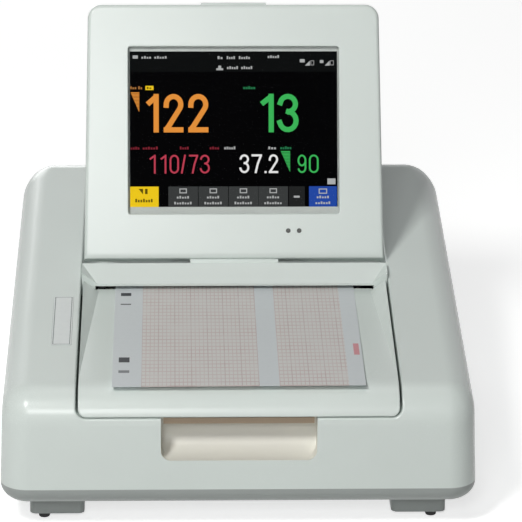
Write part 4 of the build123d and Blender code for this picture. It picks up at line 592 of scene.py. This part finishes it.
# %% [markdown]
# ## Smooth skins on the big mouldings
# CAD hands over facets. On the broad curves of the casing each facet would catch the light by itself, so a copy of
# each moulding loses the normals that it came with, is merged, and has the triangles of its flats dissolved into
# whole faces. It is shaded smooth between its real creases, and shown in the node's place. A weighted normal lets the
# large flats set the shading at their edges, so they don't pick up a gradient from the roundings beside them. The
# stand inserts and the loudspeaker get a skin too, only because the pan's floor that they sit on moves below.

# %% Shading a skin
CREASE, FLATS_LEAD = radians(32.0), 100


def select_only(piece):
    """Deselects everything and makes one object active."""
    bpy.ops.object.select_all(action="DESELECT")
    piece.select_set(True)
    bpy.context.view_layer.objects.active = piece


def weighted_normals(skin):
    """Shades a skin smooth up to the crease angle, with the large flats setting the shading at their edges."""
    select_only(skin)
    bpy.ops.mesh.customdata_custom_splitnormals_clear()
    bpy.ops.object.shade_smooth_by_angle(angle=CREASE)
    weighted = skin.modifiers.new("flats_stay_flat", "WEIGHTED_NORMAL")
    weighted.weight = FLATS_LEAD
    weighted.keep_sharp = True
    bpy.ops.object.modifier_apply(modifier=weighted.name)


print("crease angle:", round(CREASE, 3), "radians")

# %% Smooth copies
MERGE_WITHIN, SAME_PLANE = 0.000002, radians(0.1)
SMOOTHED = (
    "top_housing", "base_pan", "slot_bridge", "drawer_cover", "screen_bezel", "screen_back", "hinge_arm",
    "catch_button", "release_lever", "rubber_feet", "chart_paper", "platen_roller", "stand_inserts", "loudspeaker",
)
BODY_OF = {node: body for body, nodes in frame["record"]["behaviour"]["bodies"].items() for node in nodes}


def smooth_skin(name):
    """Copies a node, merges its loose triangles, shades it smooth and shows it in the node's place."""
    skin = frame["nodes"][name].copy()
    skin.data = frame["nodes"][name].data.copy()
    skin.name = name + "_skin"
    skin.parent = None
    bpy.context.scene.collection.objects.link(skin)
    select_only(skin)
    bpy.ops.mesh.customdata_custom_splitnormals_clear()
    bpy.ops.object.mode_set(mode="EDIT")
    bpy.ops.mesh.select_all(action="SELECT")
    bpy.ops.mesh.remove_doubles(threshold=MERGE_WITHIN)
    bpy.ops.mesh.dissolve_limited(angle_limit=SAME_PLANE, delimit={"NORMAL"})
    bpy.ops.object.mode_set(mode="OBJECT")
    weighted_normals(skin)
    skin.data.materials.clear()
    skin.data.materials.append(FINISHES[name])
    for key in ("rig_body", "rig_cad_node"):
        if key in skin:
            del skin[key]
    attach(skin, BODY_OF[name])
    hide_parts(name)
    return skin


SKINS = {name: smooth_skin(name) for name in SMOOTHED}
print("smooth skins:", len(SKINS))

# %% [markdown]
# ### Cream recess
# The finger recess in the front gets a warmer, paler cream than the casing round it. Its faces are part of the
# casing's skin, so the recess gets a second material on that skin, and its faces are found by a box round it.

# %% Recess
RECESS_BOX = ((-46.7, 46.7), (-167.4, -149.3), (47.1, 74.2))
casing = SKINS["top_housing"].data
casing.materials.append(recess_cream)
for face in casing.polygons:
    if all(low * MM < part < high * MM for part, (low, high) in zip(face.center, RECESS_BOX)):
        face.material_index = len(casing.materials) - 1
print("recess faces:", sum(face.material_index for face in casing.polygons))

# %% [markdown]
# ### Lever lip and paper end
# The release lever's lip hangs a little lower than its solid, so that a brown strip shows under the drawer's edge.
# The chart's free end lifts off the drawer, and more so at its right corner. The lift grows with the square of the
# distance from where the paper still lies flat, which is how a curl looks.

# %% Lever lip and paper end
LIP_TOP, LIP_DROP = 71.2 * MM, 2.2 * MM
CURL_START, CURL_LENGTH, CURL_LIFT, CORNER_LIFT, HALF_PAPER = 110.0, 49.0, 1.1, 0.5, 75.5
for vertex in SKINS["release_lever"].data.vertices:
    if vertex.co.z < LIP_TOP:
        vertex.co.z -= LIP_DROP

for vertex in SKINS["chart_paper"].data.vertices:
    share = max(0.0, (-vertex.co.y / MM - CURL_START) / CURL_LENGTH)
    lift = CURL_LIFT + CORNER_LIFT * max(0.0, vertex.co.x / MM) / HALF_PAPER
    vertex.co.z += share * share * lift * MM
print("lip lowered by", LIP_DROP / MM, "mm, paper end lifted by", CURL_LIFT, "mm")

# %% [markdown]
# ### Shallower pan and taller foot blocks
# Below its seam the base pan is a little shallower than its solid, and its foot blocks are taller, so that little of
# the rubber shows. Heights under the seam shrink towards it by one share, which keeps the walls straight, and the
# lower ends of the blocks move down. What sits on the pan's floor goes through the same sum, and so stays on it.

# %% Pan, inserts and loudspeaker
SEAM, PAN_BOTTOM, SHALLOWER = 28.5 * MM, 13.5 * MM, 0.80
BLOCK_FOOT, BLOCK_DROP = 5.6 * MM, 1.5 * MM
SLACK = 0.0001
for name in ("base_pan", "stand_inserts", "loudspeaker"):
    for vertex in SKINS[name].data.vertices:
        if PAN_BOTTOM - SLACK < vertex.co.z < SEAM:
            vertex.co.z = SEAM - (SEAM - vertex.co.z) * SHALLOWER
        elif vertex.co.z < BLOCK_FOOT:
            vertex.co.z -= BLOCK_DROP
print("pan bottom now at", round((SEAM - (SEAM - PAN_BOTTOM) * SHALLOWER) / MM, 2), "mm")

# %% [markdown]
# ### Tapered feet
# Each rubber foot narrows towards its tip, because it was made to come out of a mould. The vertices low on a foot
# are drawn in towards that foot's own axis.

# %% Feet
FOOT_X, FOOT_Y, FOOT_TIP, TIP_SHARE = 120.8 * MM, 144.49 * MM, 5.2 * MM, 0.68
for vertex in SKINS["rubber_feet"].data.vertices:
    if vertex.co.z < FOOT_TIP:
        for axis, middle in ((0, FOOT_X), (1, FOOT_Y)):
            middle = middle if vertex.co[axis] > 0 else -middle
            vertex.co[axis] = middle + (vertex.co[axis] - middle) * TIP_SHARE
print("feet narrowed to", TIP_SHARE, "of their width")

# %% [markdown]
# ### A tighter foot on the screen's frame
# The frame's lower edge is rounder on its solid than on the real screen, where only a thin dark line shows above the
# hinge. Rows of vertices near the foot are pulled down in the screen's own frame, those above them ever less, so
# that the flat front stays flat and the rounding gets tight. Every skin whose vertices moved is then shaded again.

# %% The screen's own frame
LEAN = radians(-20.96)
ON_SCREEN = Matrix.Translation(Vector((0.0, -2.0, 113.386)) * MM) @ Matrix.Rotation(LEAN, 4, "X")
OFF_SCREEN = ON_SCREEN.inverted()
print("the screen leans by", round(LEAN, 3), "radians")

# %% Tighter foot
ROUNDING, REACH, TIGHTER = 6.0 * MM, 12.0 * MM, 0.40
RESHAPED = (
    "screen_bezel", "top_housing", "release_lever", "chart_paper", "base_pan", "rubber_feet", "stand_inserts",
    "loudspeaker",
)


def pulled_down(height):
    """The new height over the screen's foot for a height below the reach, in metres."""
    if height < ROUNDING:
        return height * TIGHTER
    share = (height - ROUNDING) / (REACH - ROUNDING)
    return ROUNDING * TIGHTER + share * (REACH - ROUNDING * TIGHTER)


moved = 0
for vertex in SKINS["screen_bezel"].data.vertices:
    local = OFF_SCREEN @ vertex.co
    if 0.0 < local.z < REACH:
        local.z = pulled_down(local.z)
        vertex.co = ON_SCREEN @ local
        moved += 1
for name in RESHAPED:
    weighted_normals(SKINS[name])
print("foot vertices moved:", moved, "skins shaded again:", len(RESHAPED))

# %% [markdown]
# ## The picture on the screen
# The picture is 640 by 480 dots on a cell 132.5 by 99.4 mm. Everything on it is laid out in those dots and then
# set on the leaning screen by one matrix: big plain numbers, short bars beside them, wedges and a row of touch keys.
# The marks on keys and bars lie a hair in front of them. The dots' own light is an emission, with faint dark gaps
# between their rows.

# %% Dots of the picture
PICTURE_LEFT, PICTURE_TOP, PICTURE_DEPTH, MARK_DEPTH = -66.25, 134.2, 4.44, 4.40
DOT_ACROSS, DOT_DOWN = 132.5 / 640, 99.4 / 480
ROW_PITCH, ROW_GAP = DOT_DOWN * MM * 0.934, DOT_DOWN * MM * 0.2


def spot(column, row, depth=PICTURE_DEPTH):
    """A dot of the picture as a point in the screen's own frame, in metres."""
    return Vector((PICTURE_LEFT + column * DOT_ACROSS, depth, PICTURE_TOP - row * DOT_DOWN)) * MM


def lit(name, color):
    """Light from the picture's dots: their colour, and the faint dark gaps between their rows."""
    finish = Finish(name, [part * 0.05 for part in color], 0.5, Specular_IOR_Level=0.0)
    gaps = ruled(finish, finish.place()[2], ROW_PITCH, ROW_GAP)
    finish.set("Emission Color", finish.blend(gaps * 0.25, color, [part * 0.6 for part in color]))
    finish.set("Emission Strength", 1.0)
    return finish.material


ORANGE = lit("picture_orange", (0.78, 0.285, 0.045))
FAINT_ORANGE = lit("picture_faint_orange", (0.40, 0.17, 0.045))
GREEN = lit("picture_green", (0.045, 0.46, 0.10))
RED = lit("picture_red", (0.50, 0.050, 0.085))
FAINT_RED = lit("picture_faint_red", (0.20, 0.018, 0.030))
FAINT_GREEN = lit("picture_faint_green", (0.02, 0.20, 0.075))
WHITE = lit("picture_white", (0.80, 0.80, 0.80))
GREY = lit("picture_grey", (0.30, 0.30, 0.30))
BAR = lit("picture_bar", (0.0035, 0.0042, 0.0042))
KEY = lit("picture_key", (0.042, 0.045, 0.045))
DARK_KEY = lit("picture_dark_key", (0.016, 0.017, 0.017))
YELLOW = lit("picture_yellow", (0.86, 0.58, 0.012))
BLUE = lit("picture_blue", (0.018, 0.065, 0.36))
INK = lit("picture_ink", (0.11, 0.075, 0.004))
PALE = lit("picture_pale", (0.42, 0.43, 0.43))
print("a dot is", round(DOT_ACROSS, 3), "by", round(DOT_DOWN, 3), "mm")

# %% [markdown]
# ### Flat shapes
# Bars, keys and wedges are flat. A plane is added and its corners moved to their dots. All shapes of one colour are
# joined, since they are one layer of the picture, and extruded by a hair, so that the layer is a closed solid. The
# dark bar along the top comes first.

# %% Flat shapes
LAYER = (0.0, -0.00003, 0.0)


def settle(piece, name, material):
    """Puts a finished piece on the leaning screen, with its place in its mesh, and lets it ride there."""
    piece.name = name
    piece.data.transform(ON_SCREEN)
    piece.data.materials.clear()
    piece.data.materials.append(material)
    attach(piece, "display")


def flat_shapes(name, material, shapes, depth=PICTURE_DEPTH):
    """Joins flat four-cornered shapes, each given as four (column, row) corners."""
    made = []
    for corners in shapes:
        bpy.ops.object.select_all(action="DESELECT")
        bpy.ops.mesh.primitive_plane_add(size=1.0)
        made.append(bpy.context.object)
        for vertex, corner in zip(made[-1].data.vertices, corners):
            vertex.co = spot(*corner, depth)
    select_only(made[0])
    for plane in made[1:]:
        plane.select_set(True)
    if len(made) > 1:
        bpy.ops.object.join()
    bpy.ops.object.mode_set(mode="EDIT")
    bpy.ops.mesh.select_all(action="SELECT")
    bpy.ops.mesh.extrude_region_move(TRANSFORM_OT_translate={"value": LAYER})
    bpy.ops.mesh.select_all(action="SELECT")
    bpy.ops.mesh.normals_make_consistent(inside=False)
    bpy.ops.object.mode_set(mode="OBJECT")
    settle(made[0], name, material)


def bar(left, right, top, bottom):
    """Corners of an upright rectangle, in the order that a plane's corners have."""
    return ((left, bottom), (right, bottom), (left, top), (right, top))


flat_shapes("status_bar", BAR, [bar(0, 640, 0, 63)])
print("status bar laid")

# %% [markdown]
# ### Marks on the status bar
# The bar carries small marks: rows of upright ticks, little wedges, and the outlines of two batteries. Ticks of nine
# heights in turn look livelier than even ones. They are rectangles too, so the same function makes them.

# %% Marks on the status bar
TICK_HEIGHTS = (0.72, 1.0, 0.66, 0.72, 0.94, 0.70, 0.66, 1.0, 0.72)
GROUP_GAP, TICK_PITCH, TICK_SHARE = 0.10, 7.5, 0.66


def wedge(left, right, top, bottom):
    """Corners of a wedge that hangs from its wide top to a point at the lower right."""
    return ((right - 1, bottom), (right, bottom), (left, top), (right, top))


def dashes(left, right, row, height, lengths=(1,)):
    """Groups of small ticks in a row; the lengths are shares of the row, with even gaps."""
    gap = (right - left) * GROUP_GAP
    room = (right - left) - gap * (len(lengths) - 1)
    foot = row + height / 2
    start, found = left, []
    for length in lengths:
        width = room * length / sum(lengths)
        count = max(2, round(width / TICK_PITCH))
        step = width / count
        for i in range(count):
            tick = start + i * step
            tall = height * TICK_HEIGHTS[(i + int(left)) % len(TICK_HEIGHTS)]
            found.append(bar(tick, tick + step * TICK_SHARE, foot - tall, foot))
        start += width + gap
    return found


def outline(left, right, top, bottom, thick):
    """Four bars round an empty rectangle."""
    return [
        bar(left, right, top, top + thick),
        bar(left, right, bottom - thick, bottom),
        bar(left, left + thick, top, bottom),
        bar(right - thick, right, top, bottom),
    ]


status_marks = [bar(9, 25, 12, 22), bar(525, 540, 24, 34), bar(587, 598, 27, 36)]
status_marks += dashes(36, 116, 18, 8, (4, 5))
status_marks += dashes(271, 373, 19, 9, (2, 3, 4))
status_marks += dashes(300, 380, 50, 9, (4, 4))
status_marks += dashes(426, 463, 16, 9)
status_marks += [wedge(541, 556, 44, 30), wedge(602, 617, 44, 30), bar(267, 288, 52, 58), bar(273, 282, 44, 52)]
batteries = outline(558, 569, 28, 43, 2) + outline(618, 630, 28, 43, 2)
flat_shapes("status_marks", PALE, status_marks, MARK_DEPTH)
flat_shapes("status_batteries", GREY, batteries, MARK_DEPTH)
print("status marks:", len(status_marks))

# %% [markdown]
# ### Labels and gauges
# Over each value stands a small label in a fainter tone of its colour, at one of two heights. The heart rate and the
# oxygen value have a gauge beside them, a wedge cut into thin rows.

# %% Labels and gauges
UPPER_LABELS, LOWER_LABELS, LABEL_TALL = 112, 298, 9
GAUGE_ROWS, ROW_SHARE = 14, 0.72


def striped_wedge(left, right, top, bottom):
    """A wedge cut into thin rows, as a level gauge draws it."""
    step = (bottom - top) / GAUGE_ROWS
    slope = (right - 1 - left) / (bottom - top)
    found = []
    for i in range(GAUGE_ROWS):
        upper, lower = i * step, (i + ROW_SHARE) * step
        found.append(((left + slope * lower, top + lower), (right, top + lower),
                      (left + slope * upper, top + upper), (right, top + upper)))
    return found


def lower_labels(*spans):
    """Labels over the lower values, each given by its left, its right and the lengths of its groups."""
    return [tick for left, right, *lengths in spans
            for tick in dashes(left, right, LOWER_LABELS, LABEL_TALL, lengths or (1,))]


flat_shapes("rate_label", FAINT_ORANGE, dashes(1, 40, UPPER_LABELS, LABEL_TALL, (3, 2)))
flat_shapes("rate_wedge", ORANGE, striped_wedge(2, 29, 126, 186))
flat_shapes("rate_tag", YELLOW, [bar(48, 73, 106, 119)])
flat_shapes("rate_tag_marks", INK, dashes(52, 69, 112.5, 6), MARK_DEPTH)
flat_shapes("tone_label", FAINT_GREEN, dashes(350, 389, UPPER_LABELS, LABEL_TALL))
flat_shapes("pressure_labels", FAINT_RED, lower_labels((2, 88, 3, 5), (154, 183), (246, 277)))
flat_shapes("temperature_labels", PALE, lower_labels((291, 327), (427, 453)) + [bar(609, 634, 393, 411)])
flat_shapes("oxygen_label", FAINT_GREEN, lower_labels((464, 500)))
flat_shapes("oxygen_wedge", GREEN, striped_wedge(465, 494, 308, 372))
print("gauges with", GAUGE_ROWS, "rows")

# %% [markdown]
# ### Touch keys
# A row of keys runs along the foot of the picture. Four of them are alike, so they are one loop, and each has a
# small outline with two rows of ticks under it.

# %% Touch keys
KEY_TOP, KEY_FOOT = 417, 480
FUNCTION_LEFTS, FUNCTION_WIDTH = (118, 211, 304, 396), 91
UPPER_TICKS, LOWER_TICKS, TICK_TALL = 450, 468, 8

flat_shapes("silence_key", YELLOW, [bar(0, 88, KEY_TOP, KEY_FOOT)])
flat_shapes("function_keys", KEY, [bar(left, left + FUNCTION_WIDTH, KEY_TOP, KEY_FOOT) for left in FUNCTION_LEFTS])
flat_shapes("next_key", DARK_KEY, [bar(490, 539, KEY_TOP, KEY_FOOT)])
flat_shapes("main_key", BLUE, [bar(552, 638, KEY_TOP, KEY_FOOT)])
key_marks = []
for left in FUNCTION_LEFTS:
    key_marks += outline(left + 34, left + 57, 423, 438, 3)
    key_marks += dashes(left + 26, left + 66, UPPER_TICKS, TICK_TALL)
    key_marks += dashes(left + 18, left + 74, LOWER_TICKS, TICK_TALL)
key_marks += [bar(505, 523, 446, 452)]
silence_marks = [wedge(26, 40, 424, 440), bar(46, 54, 424, 440)] + dashes(16, 72, 460, 11)
main_marks = outline(582, 608, 424, 440, 3)
main_marks += dashes(576, 616, UPPER_TICKS, TICK_TALL) + dashes(572, 620, LOWER_TICKS, TICK_TALL)
flat_shapes("key_marks", PALE, key_marks, MARK_DEPTH)
flat_shapes("silence_marks", INK, silence_marks, MARK_DEPTH)
flat_shapes("main_marks", PALE, main_marks, MARK_DEPTH)
print("marks on the keys:", len(key_marks) + len(silence_marks) + len(main_marks))

# %% [markdown]
# ### Numbers
# The numbers are tall, condensed and upright. Blender's own font is much wider, so each digit is drawn as a pen
# would draw it: one or two strokes in a unit square, which are laid out on the dots as a curve. The curve gets a
# four-cornered bevel as wide as the pen, runs on by half a pen at each end as a square pen does, is made a mesh,
# and is pressed flat.

# %% Strokes of the digits


def round_stroke(middle, reach, start, end, steps=12):
    """Points on part of an ellipse in the unit square, from one angle to another in degrees."""
    angles = [radians(start + (end - start) * i / steps) for i in range(steps + 1)]
    return [(middle[0] + reach[0] * cos(a), middle[1] + reach[1] * sin(a)) for a in angles]


ring = round_stroke((0.5, 0.74), (0.5, 0.26), 180, 0) + round_stroke((0.5, 0.26), (0.5, 0.26), 0, -180)
STROKES = {
    "0": [ring + [(0.0, 0.70)]],
    "1": [[(0.10, 0.82), (0.66, 0.93)], [(1.0, 1.0), (1.0, 0.0)]],
    "2": [round_stroke((0.5, 0.76), (0.5, 0.24), 185, -28) + [(0.20, 0.13), (0.10, 0.07)],
          [(0.0, 0.0), (1.0, 0.0)]],
    "3": [round_stroke((0.48, 0.77), (0.48, 0.23), 170, -80), round_stroke((0.48, 0.27), (0.52, 0.27), 85, -168)],
    "7": [[(0.0, 1.0), (1.0, 1.0)], [(0.97, 0.94), (0.62, 0.50), (0.38, 0.0)]],
    "9": [round_stroke((0.5, 0.70), (0.5, 0.30), 0, -360, 24),
          [(1.0, 0.74)] + round_stroke((0.5, 0.26), (0.5, 0.26), 0, -160)],
    "/": [[(0.0, 0.0), (1.0, 1.0)]],
    ".": [[(0.5, 0.0), (0.5, 0.0)]],
}
print("digits drawn:", " ".join(STROKES))

# %% [markdown]
# ### Laying out the numbers
# Every glyph fills the columns and rows that it is given. A stroke is shortened by half a pen at the box's sides and
# then runs on by as much at its ends, so the ink just fills the box. The dot of a decimal has no direction of its
# own, so it gets one.

# %% Numbers on the picture
PRESSED = 0.01
BIG_PEN, MIDDLE_PEN, FINE_PEN = 16.0, 6.4, 5.4
BIG_TOP, BIG_FOOT = 131, 250


def number(name, material, top, bottom, pen, glyphs):
    """Draws a number; every glyph is a character with the columns that it fills, and pen is in dots."""
    curve = bpy.data.curves.new(name, "CURVE")
    curve.dimensions = "3D"
    curve.bevel_resolution = 0
    curve.use_fill_caps = True
    curve.bevel_depth = pen * DOT_ACROSS * MM / 2
    for character, left, right in glyphs:
        low, high = spot(left + pen / 2, bottom - pen / 2), spot(right - pen / 2, top + pen / 2)
        for stroke in STROKES[character]:
            line = [Vector((low.x + x * (high.x - low.x), low.z + z * (high.z - low.z), 0.0)) for x, z in stroke]
            ends = (line[0] - line[1], line[-1] - line[-2])
            if not ends[0].length:
                ends = (Vector((0.0, -1.0, 0.0)), Vector((0.0, 1.0, 0.0)))
            line[0] = line[0] + ends[0].normalized() * curve.bevel_depth
            line[-1] = line[-1] + ends[1].normalized() * curve.bevel_depth
            spline = curve.splines.new("POLY")
            spline.points.add(len(line) - 1)
            for point, corner in zip(spline.points, line):
                point.co = (*corner, 1.0)
    piece = bpy.data.objects.new(name, curve)
    bpy.context.scene.collection.objects.link(piece)
    select_only(piece)
    bpy.ops.object.convert(target="MESH")
    piece = bpy.context.object
    for vertex in piece.data.vertices:
        x, z, y = vertex.co
        vertex.co = (x, PICTURE_DEPTH * MM - y * PRESSED, z)
    settle(piece, name, material)


number("rate", ORANGE, BIG_TOP, BIG_FOOT, BIG_PEN, [("1", 50, 89), ("2", 104, 165), ("2", 180, 242)])
number("tone", GREEN, BIG_TOP, BIG_FOOT, BIG_PEN, [("1", 402, 444), ("3", 456, 521)])
number("pressure", RED, 319, 377, FINE_PEN,
       [("1", 59, 79), ("1", 93, 112), ("0", 122, 151), ("/", 157, 172), ("7", 182, 210), ("3", 216, 246)])
number("temperature", WHITE, 318, 376, MIDDLE_PEN,
       [("3", 338, 368), ("7", 375, 407), (".", 413, 423), ("2", 428, 457)])
number("oxygen", GREEN, 319, 376, FINE_PEN, [("9", 517, 544), ("0", 552, 582)])
print("numbers made with pens of", BIG_PEN, MIDDLE_PEN, FINE_PEN, "dots")
